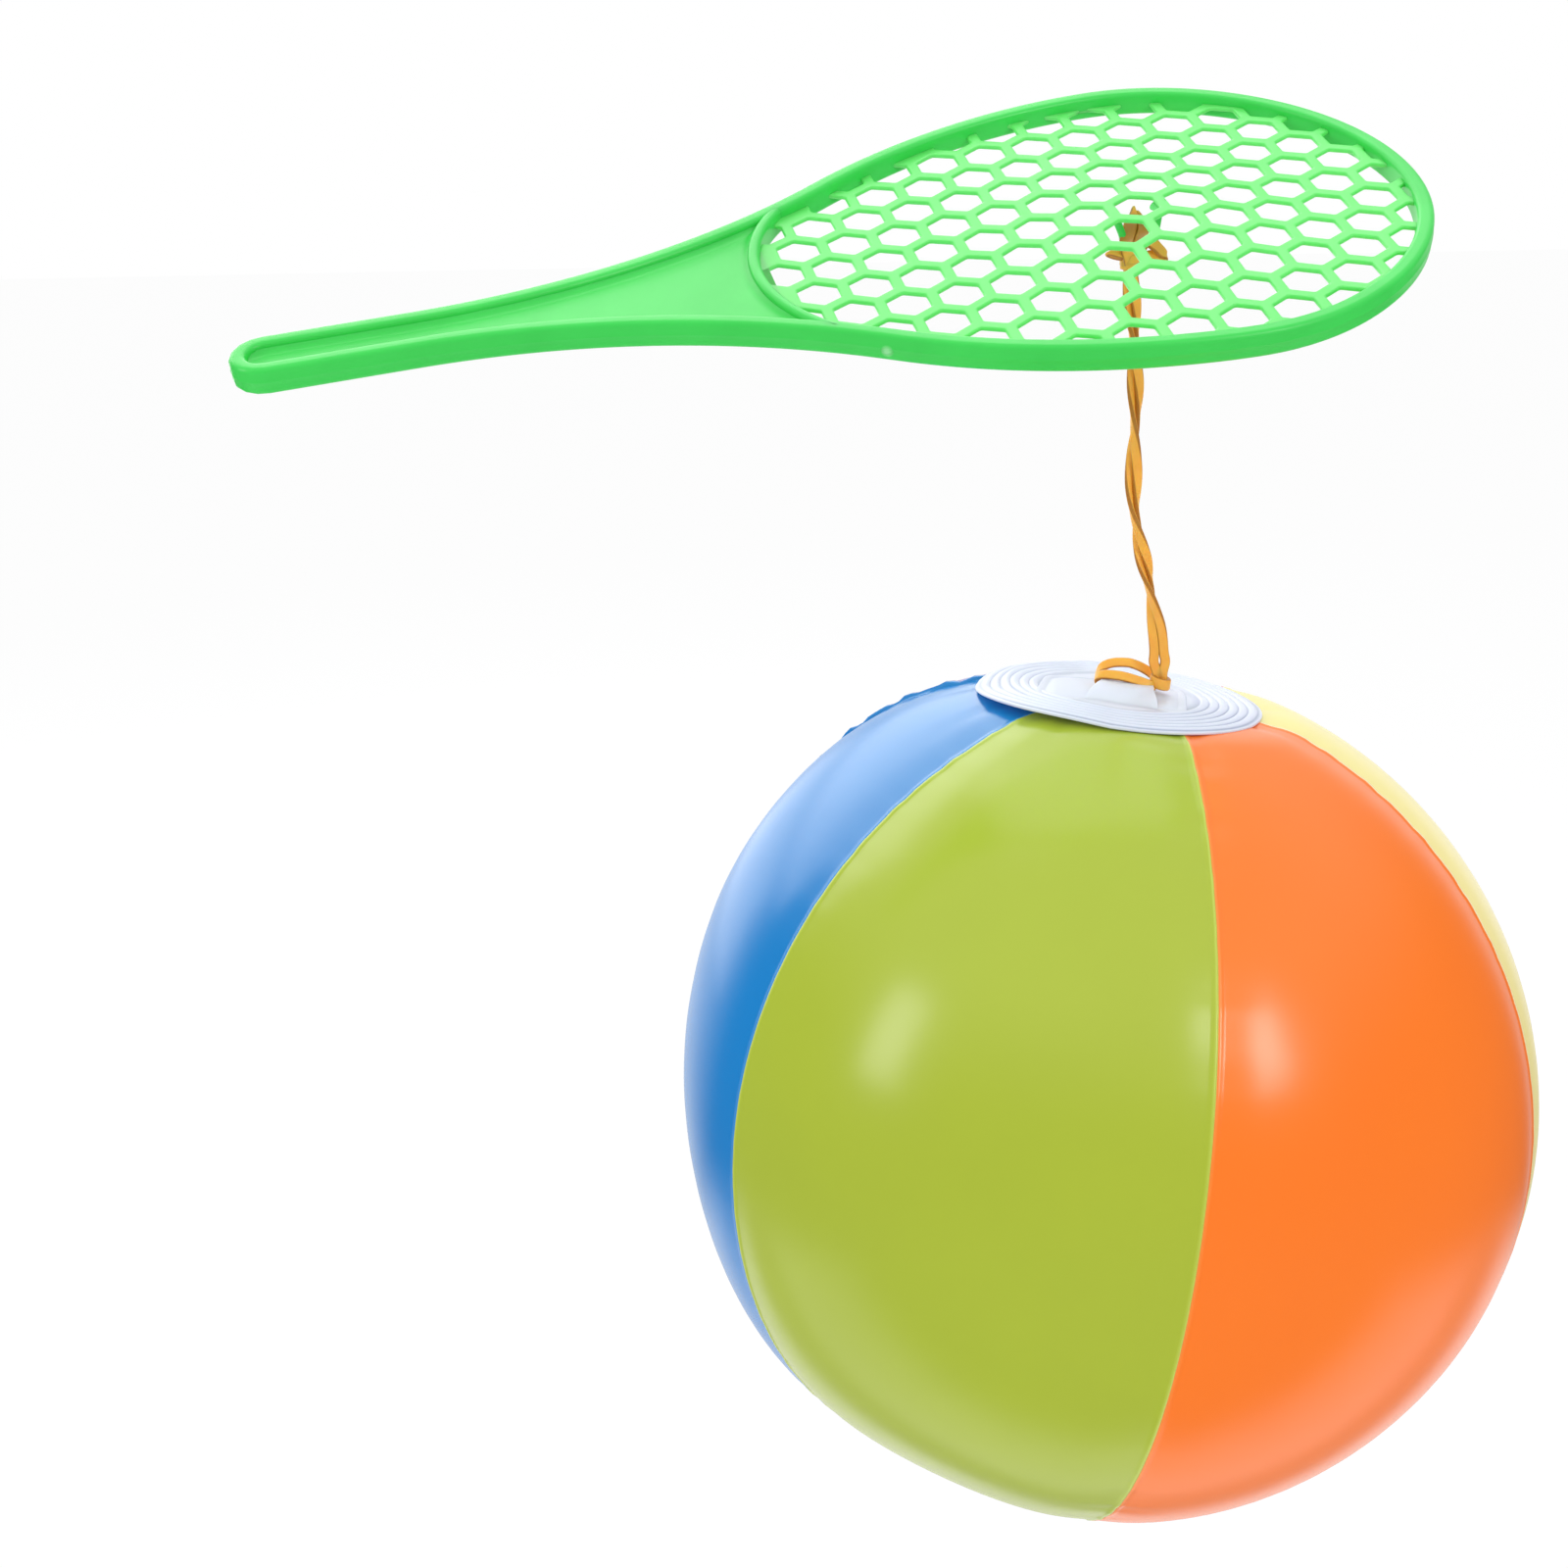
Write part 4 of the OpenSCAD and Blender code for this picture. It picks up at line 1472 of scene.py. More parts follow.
        shells.append(strip(rows[:, :3], RIGHT, rows[:, 3], self.folded * self.strand_t))
        shell = joined(shells)
        shell.points = shell.points + np.array([0, 0, self.lug_z])
        return shell

    def build(self) -> list[Object]:
        """Returns:
            The three pieces.
        """
        latex = (AMBER_LATEX, Slot.LATEX)
        eye = make_piece("band_on_hook", self.eye(), *latex, ("band_eye",), Body.EYE)
        hitch = self.hitch().placed(self.hold.lug_end())
        hitch = make_piece("band_on_lug", hitch, *latex, ("band_hitch",), Body.BALL)
        shell, line = self.strands()
        twist = make_piece("band_twisted_pair", shell, *latex, ("band_strands", "band_neck"), None)
        foot = self.knot() + np.array([self.neck_lean, 0, self.neck_l])
        tuple(self.top() * MM)
        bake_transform(twist)
        return [eye, twist, hitch]


FILM_ROUGHNESS = 0.23
FILM_IOR = 1.53


@dataclass(frozen=True)
class Panel:
    """One panel of the ball: its place in the order round the axis, its colours and its slot."""

    name: str
    count: int
    slot: Slot
    colour: str
    deep: str
    weld: str

    def finish(self) -> VinylFilm:
        """The film that the panel is cut from."""
        name = f"pvc_film_{self.name}_glossy"
        return VinylFilm(name, self.colour, FILM_ROUGHNESS, FILM_IOR, self.deep, self.weld)


PANELS = (
    Panel("blue", -1, Slot.BLUE, "0480cb", "0476c0", "2f92dc"),
    Panel("lime", 0, Slot.LIME, "adbe36", "a4b42e", "c4d458"),
    Panel("orange", 1, Slot.ORANGE, "ff7d1e", "ff7416", "ff8e3c"),
    Panel("yellow", 2, Slot.YELLOW, "f3e48c", "eedc7c", "f9f2b4"),
    Panel("red", 3, Slot.RED, "e23a3c", "d93033", "f07070"),
    Panel("violet", 4, Slot.VIOLET, "5a46a8", "523ea0", "3a4fa6"),
)


@dataclass(frozen=True)
class Ball:
    """The inflated ball: six panels, two end discs and the lug."""

    hold: Hold = Hold()
    ball_r: float = 92.0
    film_t: float = 0.3
    seam_turn: float = 201.5
    panel_angle: float = 60.0
    # Width of a panel at the equator, and how far from its edge the grid's lines run there
    panel_w: float = 96.4
    grid_off: tuple[float, ...] = (
        0.0, 0.4, 0.8, 1.2, 1.7, 2.5, 3.6, 5.2, 7.2, 9.8, 13.0, 16.5, 20.5, 25.0, 30.0, 36.0, 42.0,
    )
    # How far each seam strays from its even place: throughout, towards a pole, and towards both poles
    seam_drift: tuple[Triple, ...] = (
        (-2.05, -3.4, 2.3), (1.0, 0.75, 0.0), (1.5, 1.3, 0.0),
        (9.0, 9.0, 0.0), (0.0, 0.0, 0.0), (4.0, 0.0, 0.0),
    )
    flat_r: float = 27.0
    flat_drop: float = 0.6
    # Each bulge: angle from the axis, angle about it, spread, and how far the film stands out
    bulges: tuple[tuple[float, ...], ...] = (
        (34.1, 142.0, 15.0, 2.0),
        (48.3, 152.0, 15.0, 1.6),
        (65.7, 160.0, 15.0, 1.3),
        (104.9, 177.6, 20.0, -1.15),
        (142.8, 225.1, 17.0, -1.75),
    )
    end_hole_r: float = 6.0
    # The seams: their welds, and the distances over which the pale line on these fades; the seam with a
    # standing flange; the valley along them; and their puckers, which grow towards the poles
    weld_w: float = 0.55
    weld_h: float = 0.16
    weld_edge: float = 0.5
    weld_line: Pair = (0.2475, 0.5475)
    flange_seam: int = 5
    flange_h: float = 0.8
    flange_wave: float = 0.3
    valley: float = 0.4
    valley_w: float = 6.0
    pucker: float = 0.03
    pucker_pole: float = 0.12
    pucker_w: float = 4.5
    pole_span: Pair = (0.35, 0.85)
    # Share, length and shift from seam to seam of each wave of the puckers
    pucker_waves: tuple[Triple, ...] = ((0.6, 8.3, 1.9), (0.4, 5.1, 2.7))
    # The film round a disc: its pleats, its raised collar in front, and the slow waves everywhere
    pleats: int = 9
    pleat: float = 0.3
    pleat_l: float = 7.0
    pleat_off: float = 6.0
    # How far the pleats stray from even places, where they start, and how narrow they are
    pleat_stray: Triple = (1.4, 0.5, 0.9)
    pleat_power: int = 6
    collar: float = 0.4
    collar_w: float = 6.0
    collar_front: Pair = (0.2, 1.2)
    slow_wave: float = 0.12
    # How fast each slow wave runs along x, y and z, and its shift
    slow_waves: tuple[tuple[float, ...], ...] = (
        (4.1, 2.2, 0.0, 0.7), (0.0, 3.7, -2.9, 1.9), (2.4, 0.0, 4.6, 0.0),
    )
    soft_edge: float = 0.5
    disc_r: float = 29.8
    disc_t: float = 0.8
    disc_x: float = -8.0
    disc_oval: float = 0.94
    disc_in: float = 0.1
    lip_r: float = 0.3
    lip_z: float = 0.15
    lip_high: float = 1.1
    # How far each disc waves, and the share, number and shift of each of its waves
    top_wave: float = 0.1
    low_wave: float = 0.08
    disc_waves: tuple[Triple, ...] = ((1.0, 3, 0.6), (0.6, 7, 2.0))
    ring_step: float = 2.0
    ring_h: float = 0.4
    ring_power: float = 0.8
    # Share of a ring's height under which its hollow gets painted shade, how strongly that painted shade
    # shows at least and at most, and how that goes round
    groove_h: float = 0.55
    groove_shown: Pair = (0.15, 0.8)
    groove_round: Triple = (0.45, 0.75, 0.15)
    rings: int = 6
    # How far a disc droops to its left, right, front and back, and how far its left is twisted
    top_droop: tuple[float, ...] = (2.8, 0.75, 0.95, 0.65, 2.1)
    low_droop: tuple[float, ...] = (0.7, 0.7, 0.7, 0.7, 0.0)
    patch_x: float = -8.6
    patch_y: float = -2.3
    patch_l: float = 29.2
    patch_w: float = 19.8
    patch_t: float = 0.45
    patch_power: float = 9.0
    patch_in: float = 0.3
    # Its thickness at the front edge, as a share, and how far behind it is full
    front_least: float = 0.1
    front_l: float = 5.0
    # Strength, distance from the edge and spread of each line of painted shade along the pressed line, and
    # its share on the right
    patch_lines: tuple[Triple, ...] = ((0.6, 0.0, 0.25), (0.12, 1.2, 0.3))
    line_least: float = 0.25
    # How far its left edge is drawn out, and how that changes from front to back
    patch_drawn: Pair = (1.5, -0.09)
    # How far inside the patch's edge, and the share of its thickness there
    patch_edge: tuple[Pair, ...] = (
        (0.0, -0.1), (0.12, 0.7), (0.3, 0.95), (0.75, 1.0), (1.0, 0.55),
        (1.2, 0.45), (1.4, 0.55), (1.7, 1.0), (3.0, 1.0),
    )
    lug_x: float = -7.9
    bridge_h: float = 1.35
    bridge_in: float = 0.06

    @property
    def flat_h(self) -> float:
        """Height of the flats that the discs lie on."""
        return math.sqrt(self.ball_r**2 - self.flat_r**2)

    def swell(self, way: Array) -> Array:
        """How far the film bulges out of a sphere: the sum of a bell round each bulge's direction.

        Args:
            way: directions from the ball's middle, of length 1.

        Returns:
            The offset along each direction.
        """
        total = np.zeros(way.shape[:-1])
        for polar, turned, spread, rise in self.bulges:
            middle = turn(Axis.Z, turned) @ turn(Axis.Y, polar) @ UP
            apart = np.degrees(np.arccos(np.clip(way @ middle, -1, 1)))
            total = total + rise * bump(apart, 0.0, spread)
        return total

    def reach(self, way: Array) -> Array:
        """Radius of the film: a bulged sphere that runs softly into its flats.

        Args:
            way: directions from the ball's middle, of length 1.

        Returns:
            A smooth minimum of the sphere's radius and the flat's distance.
        """
        soft, rise = self.soft_edge, way[..., 2]
        flat = (self.flat_h - np.where(rise > 0, self.flat_drop, 0.0)) / np.maximum(np.abs(rise), 1e-3)
        sphere = self.ball_r + self.swell(way)
        gap = np.clip((flat - sphere) / soft, -60, 60)
        return sphere - soft * np.log1p(np.exp(-gap))

    def relief(self, polar: Array, way: Array, gap: Array, seam: Array) -> Array:
        """How far the film stands out or in: seam valleys, welds, puckers, pleats and slow waves.

        Args:
            polar: angle from the axis in radians.
            way: directions from the ball's middle, of length 1.
            gap: distance from the nearest seam.
            seam: number of that seam.

        Returns:
            The offset along the radius.
        """
        run = self.ball_r * polar
        pole = ramp(np.abs(np.cos(polar)), *self.pole_span)
        wave = sum(
            share * np.sin(2 * np.pi * run / length + shift * seam)
            for share, length, shift in self.pucker_waves
        )
        pucker = (self.pucker + self.pucker_pole * pole) * wave * np.exp(-gap / self.pucker_w)
        valley = -self.valley * bump(gap, 0.0, self.valley_w)
        flange = np.where(seam == self.flange_seam, self.flange_h + self.flange_wave * wave, self.weld_h)
        weld = flange * (1 - ease((gap - self.weld_w) / self.weld_edge))
        slow = sum(np.sin(way @ np.array(pitch) + shift) for *pitch, shift in self.slow_waves)
        x, y, z = np.moveaxis(way, -1, 0)
        middle = self.disc_x * turn(Axis.Z, self.hold.lug_turn)[:2, 0]
        off_x = x * self.ball_r - np.where(z > 0, middle[0], 0.0)
        off_y = y * self.ball_r - np.where(z > 0, middle[1], 0.0)
        out = np.hypot(off_x, off_y) - self.disc_r
        about = np.arctan2(off_y, off_x)
        stray, lead, shift = self.pleat_stray
        fold = np.cos(self.pleats * about + stray * np.sin(2 * about + lead) + shift)
        fan = np.clip(fold, 0, 1) ** self.pleat_power
        fade = np.exp(-np.clip(out, 0, None) / self.pleat_l) * ramp(gap, 0.0, self.pleat_off)
        sides, ahead = self.collar_front
        front = ease(sides - ahead * np.sin(about))
        collar = np.where(z > 0, self.collar * bump(out, 0.0, self.collar_w) * front, 0.0)
        return pucker + valley + weld + self.slow_wave * slow - self.pleat * fan * fade + collar

    def seam_at(self, count: int, polar: Array) -> Array:
        """Angle of a seam about the ball's axis, which drifts a little from pole to pole.

        Args:
            count: the seam's place in the order.
            polar: angle from the axis in radians.

        Returns:
            The angle in degrees.
        """
        level = np.cos(polar)
        even, one, both = self.seam_drift[count % len(PANELS)]
        return self.seam_turn + count * self.panel_angle + even + one * level + both * level**2

    def panel(self, panel: Panel) -> Shell:
        """One panel's outer face: a grid across the panel and from disc to disc.

        Args:
            panel: which panel.

        Returns:
            The shell, with the mark "weld" along its two edges, in the ball's own frame.
        """
        half = np.array(self.grid_off) / self.panel_w
        across = np.concatenate([half, [0.5], 1 - half[::-1]])[None, :]
        hole = math.atan(self.end_hole_r / self.flat_h)
        polar = np.linspace(hole, np.pi - hole, 170)[:, None]
        counts = (panel.count, panel.count + 1)
        first, last = (count % len(PANELS) for count in counts)
        start, end = (self.seam_at(count, polar) for count in counts)
        turned = np.radians(start + across * (end - start))
        wide = np.radians(end - start) * self.ball_r * np.sin(polar)
        gap = np.minimum(across, 1 - across) * wide
        seam = np.where(across > 0.5, last, first) + 0 * polar
        way = np.sin(polar)[..., None] * bearing(turned) + np.cos(polar)[..., None] * UP
        radius = self.reach(way) + self.relief(polar, way, gap, seam)
        shell = grid_shell(radius[..., None] * way)
        shell.marks["weld"] = (1 - ramp(gap, *self.weld_line)).ravel()
        return shell

    def lay(self, x: Array, y: Array, upper: bool) -> Array:
        """Height at which an end disc lies: domed, twisted a little, and never inside the film.

        Args:
            x: places on the disc from the ball's axis, in the lug's frame for the top disc.
            y: places on the disc from the ball's axis.
            upper: whether it is the top disc.

        Returns:
            The height of its underside above the ball's middle.
        """
        left, right, front, back, twist = self.top_droop if upper else self.low_droop
        u = (x - (self.disc_x if upper else 0.0)) / self.disc_r
        v = y / self.disc_r
        to_left, to_front = np.minimum(u, 0), np.minimum(v, 0)
        dome = -left * to_left**2 - right * np.maximum(u, 0) ** 2 + twist * to_left * v
        dome = dome - front * to_front**2 - back * np.maximum(v, 0) ** 2
        out = np.hypot(x, y)
        way = np.stack([x, y, np.sqrt(self.ball_r**2 - out**2)], axis=-1) / self.ball_r
        if upper:
            way = way @ turn(Axis.Z, self.hold.lug_turn).T
        else:
            way = way * np.array([1.0, 1.0, -1.0])
        film = np.sqrt((self.ball_r + self.swell(way)) ** 2 - out**2)
        flat = self.flat_h - (self.flat_drop if upper else 0.0)
        return np.maximum(self.flat_h + dome, np.minimum(film, flat) - self.disc_in)

    def disc(self, upper: bool) -> Shell:
        """A disc with rounded rings pressed into it, which droops at its edge and waves a little.

        Args:
            upper: whether it is the top disc, which lies off the ball's axis and is drawn oval.

        Returns:
            The shell, top, edge and underside, with a mark of painted shade in its grooves, in the ball's
            own frame.
        """
        inner = self.disc_r - self.ring_step * (self.rings + 0.5)
        plain = np.linspace(0, inner, 10)[:-1]
        ringed = np.linspace(inner, self.disc_r - 0.5 * self.ring_step, self.rings * 10 + 1)
        phase = (self.disc_r - ringed) / self.ring_step
        crown = self.ring_h * np.abs(np.sin(np.pi * (phase - 0.5))) ** self.ring_power
        edge = np.radians(np.linspace(90, -90, 9))
        lip = self.lip_r
        radius = np.concatenate([plain, ringed, self.disc_r - lip + lip * np.cos(edge), [inner, 0.0]])
        height = np.concatenate(
            [
                np.full(len(plain), self.disc_t),
                self.disc_t + crown,
                self.lip_z + lip + self.lip_high * lip * np.sin(edge),
                [0.0, 0.0],
            ]
        )
        around = circle(144)
        x = (self.disc_x if upper else 0.0) + radius[:, None] * np.cos(around)
        y = radius[:, None] * np.sin(around) * (self.disc_oval if upper else 1.0)
        share = (radius[:, None] / self.disc_r) ** 3
        wave = self.top_wave if upper else self.low_wave
        waves = sum(part * np.sin(number * around + shift) for part, number, shift in self.disc_waves)
        ripple = wave * share * waves
        z = height[:, None] + self.lay(x, y, upper) + ripple
        shell = grid_shell(np.stack([x, y, z], axis=-1), False, True)
        dark = np.zeros(len(radius))
        shade = np.clip(1 - crown / (self.groove_h * self.ring_h), 0, 1)
        dark[len(plain) : len(plain) + len(ringed)] = shade
        # Painted shade in the grooves: the light falls along the grooves behind, so that the painted shade
        # shows least there
        least, more = self.groove_shown
        even, ahead, right = self.groove_round
        shown = least + more * ease(even - ahead * np.sin(around) + right * np.cos(around))
        shell.marks["groove"] = (dark[:, None] * shown).ravel()
        return shell

    def front_share(self, y: Array) -> Array:
        """Share of the patch's thickness, which runs out towards its front edge."""
        full = ease((y - self.patch_y + self.patch_w / 2) / self.front_l)
        return self.front_least + (1 - self.front_least) * full

    def patch(self) -> Shell:
        """The lug's patch: a thin rounded sheet with a pressed line inside its edge.

        Returns:
            The shell, in the ball's own frame.
        """
        around = circle(160)
        power, a, b = self.patch_power, self.patch_l / 2, self.patch_w / 2
        edge_r = (np.abs(np.cos(around) / a) ** power + np.abs(np.sin(around) / b) ** power) ** (-1 / power)
        inset, height = np.array(self.patch_edge).T
        share = np.concatenate([1 - inset / b, [0.4, 0.0]])[:, None]
        height = self.patch_t * np.concatenate([height, [1.0, 1.0]])[:, None]
        x = self.patch_x + share * edge_r * np.cos(around)
        y = self.patch_y + share * edge_r * np.sin(around)
        to_left = ease((self.patch_x - x) / a)
        drawn, more = self.patch_drawn
        x = x - (drawn + more * (y - self.patch_y)) * to_left
        front = self.front_share(y)
        z = self.lay(x, y, True) + self.disc_t + height * front
        top = np.stack([x, y, z], axis=-1)
        low = top[:1] - self.patch_in * UP
        middle = np.broadcast_to(low.mean(axis=1, keepdims=True), low.shape)
        shell = grid_shell(np.concatenate([middle, low, top]), False, True)
        # Painted shade along the pressed line inside the edge: full at the left, less on the right, and
        # running out at the front
        line = sum(dark * bump(inset, *where) for dark, *where in self.patch_lines)
        line = np.concatenate([line, [0, 0]])
        shown = line[:, None] * front * (self.line_least + (1 - self.line_least) * to_left)
        shell.marks["groove"] = np.concatenate([0 * shown[:1], shown[:1], shown]).ravel()
        return shell

    def bridge(self) -> Shell:
        """The lug's bridge: an arched strip across the patch that runs out thin at its two feet.

        Stops are a place across the patch, the share of the rise, the width, the thickness and the middle.

        Returns:
            The shell, in the lug's frame.
        """
        stops = np.array(
            [
                [-12.2, -0.05, 15.0, 0.04, 0.4], [-11.0, 0.0, 14.8, 0.12, 0.5], [-9.4, 0.1, 14.4, 0.4, 0.6],
                [-7.4, 0.36, 13.6, 0.6, 0.8], [-5.5, 0.7, 12.4, 0.7, 1.0], [-3.8, 0.94, 11.4, 0.7, 1.2],
                [-2.2, 1.0, 11.0, 0.7, 1.3], [0.0, 1.02, 11.0, 0.7, 1.3], [2.2, 0.98, 11.0, 0.7, 1.3],
                [3.9, 0.62, 11.0, 0.65, 1.2], [5.2, 0.2, 11.4, 0.45, 1.0], [6.2, 0.03, 11.8, 0.2, 0.9],
                [6.9, 0.0, 12.0, 0.08, 0.8],
            ]
        )
        rows = smooth_path(stops * [1.0, self.bridge_h, 1.0, 1.0, 1.0], 80)
        x, y = self.lug_x + rows[:, 4], rows[:, 0]
        base = self.lay(x, y, True) + self.disc_t + self.patch_t * self.front_share(y) - self.bridge_in
        line = np.column_stack([x, y, base + rows[:, 1] + rows[:, 3] / 2])
        return strip(line, RIGHT, rows[:, 2], rows[:, 3])

    def build(self) -> list[Object]:
        """Makes the panels, the discs and the lug.

        Returns:
            The pieces.
        """
        place, lug_end = self.hold.ball(), self.hold.lug_end()
        pieces = []
        for panel in PANELS:
            shell = self.panel(panel).placed(place)
            node = (f"panel_{panel.name}",)
            name = f"panel_film_{panel.name}"
            film = make_piece(name, shell, panel.finish(), panel.slot, node, Body.BALL)
            self.face_out(film, place.shift)
            wall = film.modifiers.new("film", "SOLIDIFY")
            wall.thickness = self.film_t * MM
            wall.offset = -1.0
            pieces.append(film)
        white = (WHITE_VINYL, Slot.WHITE)
        under = self.disc(False)
        under.points = under.points * np.array([1.0, 1.0, -1.0])
        upper = self.disc(True).placed(lug_end)
        lug = joined([self.patch(), self.bridge()]).placed(lug_end)
        pieces.append(make_piece("disc_top", upper, *white, ("top_disc",), Body.BALL))
        pieces.append(make_piece("disc_bottom", under.placed(place), *white, ("bottom_disc",), Body.BALL))
        pieces.append(make_piece("lug_bridge", lug, *white, ("lug_strap",), Body.BALL))
        return pieces

    def face_out(self, film: Object, centre: Array) -> None:
        """Turns a panel's faces away from the ball's middle.

        Args:
            film: the panel.
            centre: the ball's middle.
        """
        mesh = film.data
        face = mesh.polygons[len(mesh.polygons) // 2]
        away = np.array(face.center) / MM - centre
        if float(np.dot(away, np.array(face.normal))) < 0:
            mesh.flip_normals()


@dataclass(frozen=True)
class Valve:
    """The inflation valve on the violet panel: a stem with a welded flange, and its plug."""

    hold: Hold = Hold()
    ball_r: float = Ball.ball_r
    turned: float = 111.5
    latitude: float = 25.0
    # Radius and height over the film along the flange, with its weld bead
    flange: tuple[Pair, ...] = (
        (5.4, 0.72), (6.4, 0.6), (8.2, 0.58), (8.6, 0.75), (9.0, 0.82),
        (9.4, 0.75), (9.8, 0.58), (10.5, 0.55), (10.9, 0.35), (11.0, 0.05),
    )
    stem_r: float = 4.5
    bore_r: float = 3.0
    stem_h: float = 8.0
    stem_in: float = 3.0
    plug_gap: float = 0.1
    spigot_l: float = 6.5
    plug_r: float = 5.5
    plug_t: float = 2.2

    def place(self) -> Placement:
        """The valve's frame: its z axis runs out through the film.

        Returns:
            The placement, from the ball's middle.
        """
        ball = self.hold.ball()
        matrix = ball.matrix @ turn(Axis.Z, self.turned) @ turn(Axis.Y, 90 - self.latitude)
        return Placement(matrix, ball.shift)

    def stem(self) -> Shell:
        """The stem: bore, rounded lip, tapered neck and a flange with a weld bead that follows the ball.

        Returns:
            A closed profile of radius and height, turned once round.
        """
        out, over = np.array(self.flange).T
        film = np.sqrt(self.ball_r**2 - out**2)
        film_r, bore, stem = self.ball_r, self.bore_r, self.stem_r
        top, foot = film_r + self.stem_h, film_r - self.stem_in
        neck = np.array(
            [
                [bore, foot], [bore, top - 0.5], [bore + 0.15, top - 0.15], [bore + 0.45, top],
                [stem - 0.35, top], [stem - 0.05, top - 0.2], [stem, top - 0.6], [stem - 0.12, top - 1.8],
                [stem - 0.1, film_r + 2.4], [stem + 0.2, film_r + 1.3],
            ]
        )
        under = np.array([[stem, film_r - 0.4], [stem, foot]])
        return revolved(np.vstack([neck, np.column_stack([out, film + over]), under]), TURN_STEPS, True)

    def plug(self) -> Shell:
        """The plug: a spigot with a round nose, and a dished head with a grooved edge.

        Returns:
            A profile from axis to axis, turned once round.
        """
        spigot, rim = self.bore_r - self.plug_gap, self.plug_r
        seat = self.ball_r + self.stem_h
        head, nose = seat + self.plug_t, seat - self.spigot_l
        profile = np.array(
            [
                [0.0, nose], [spigot - 0.8, nose], [spigot - 0.2, nose + 0.3], [spigot, nose + 0.9],
                [spigot, seat + 0.02], [rim - 0.5, seat + 0.02], [rim - 0.1, seat + 0.2], [rim, seat + 0.6],
                [rim - 0.25, seat + 0.95], [rim - 0.25, seat + 1.15], [rim, seat + 1.5],
                [rim - 0.12, head - 0.3], [rim - 0.5, head], [rim - 1.3, head], [rim - 1.9, head - 0.35],
                [1.2, head - 0.4], [0.7, head - 0.15], [0.0, head - 0.1],
            ]
        )
        return revolved(profile, TURN_STEPS, False)

    def build(self) -> list[Object]:
        """Makes the stem and the plug.

        Returns:
            The two pieces.
        """
        place = self.place()
        white = (WHITE_VINYL, Slot.WHITE)
        stem, plug = self.stem().placed(place), self.plug().placed(place)
        return [
            make_piece("valve_stem_flange", stem, *white, ("valve_stem",), Body.BALL),
            make_piece("valve_plug_cap", plug, *white, ("valve_plug",), Body.PLUG),
        ]


# Studio

WHITE_LIGHT = {"Color": linear("ffffff")}


def stood(item: Object, right: Array, back: Array, place: Array) -> Object:
    """Links a lamp or camera into the scene, at a place and facing away from its back.

    Args:
        item: the lamp or camera.
        right: direction to its right.
        back: direction behind it.
        place: where it stands, in metres.

    Returns:
        The same object.
    """
    matrix = np.eye(4)
    matrix[:3, :3] = np.column_stack([right, np.cross(back, right), back])
    matrix[:3, 3] = place
    item.matrix_world = Matrix(matrix.tolist())
    bpy.context.scene.collection.objects.link(item)
    return item


@dataclass(frozen=True)
class SoftBox:
    """A rectangular lamp: what it is aimed at, where it shines from, its size in metres, its brightness."""

    name: str
    aim: Triple
    way: Triple
    distance: float
    width: float
    height: float
    brightness: float

    def build(self) -> Object:
        """Makes the lamp, facing the place that it is aimed at.

        Returns:
            The lamp.
        """
        lamp = bpy.data.lights.new(self.name, "AREA")
        lamp.shape = "RECTANGLE"
        lamp.size, lamp.size_y = self.width, self.height
        lamp.energy = math.pi * self.brightness * self.width * self.height
        item = bpy.data.objects.new(self.name, lamp)
        item.visible_camera = False
        back = unit(np.array(self.way))
        right = unit(np.cross(UP, back))
        return stood(item, right, back, np.array(self.aim) + self.distance * back)


class Join(str, Enum):
    """What a side of the room does to the sides before it."""

    BRIGHTEN = "MAXIMUM"
    DIM = "MINIMUM"


@dataclass(frozen=True)
class Side:
    """A side of the room in a reflection: from a low strength to 1 over a span of cosines to its way."""

    join: Join
    way: Triple
    span: Pair
    low: float


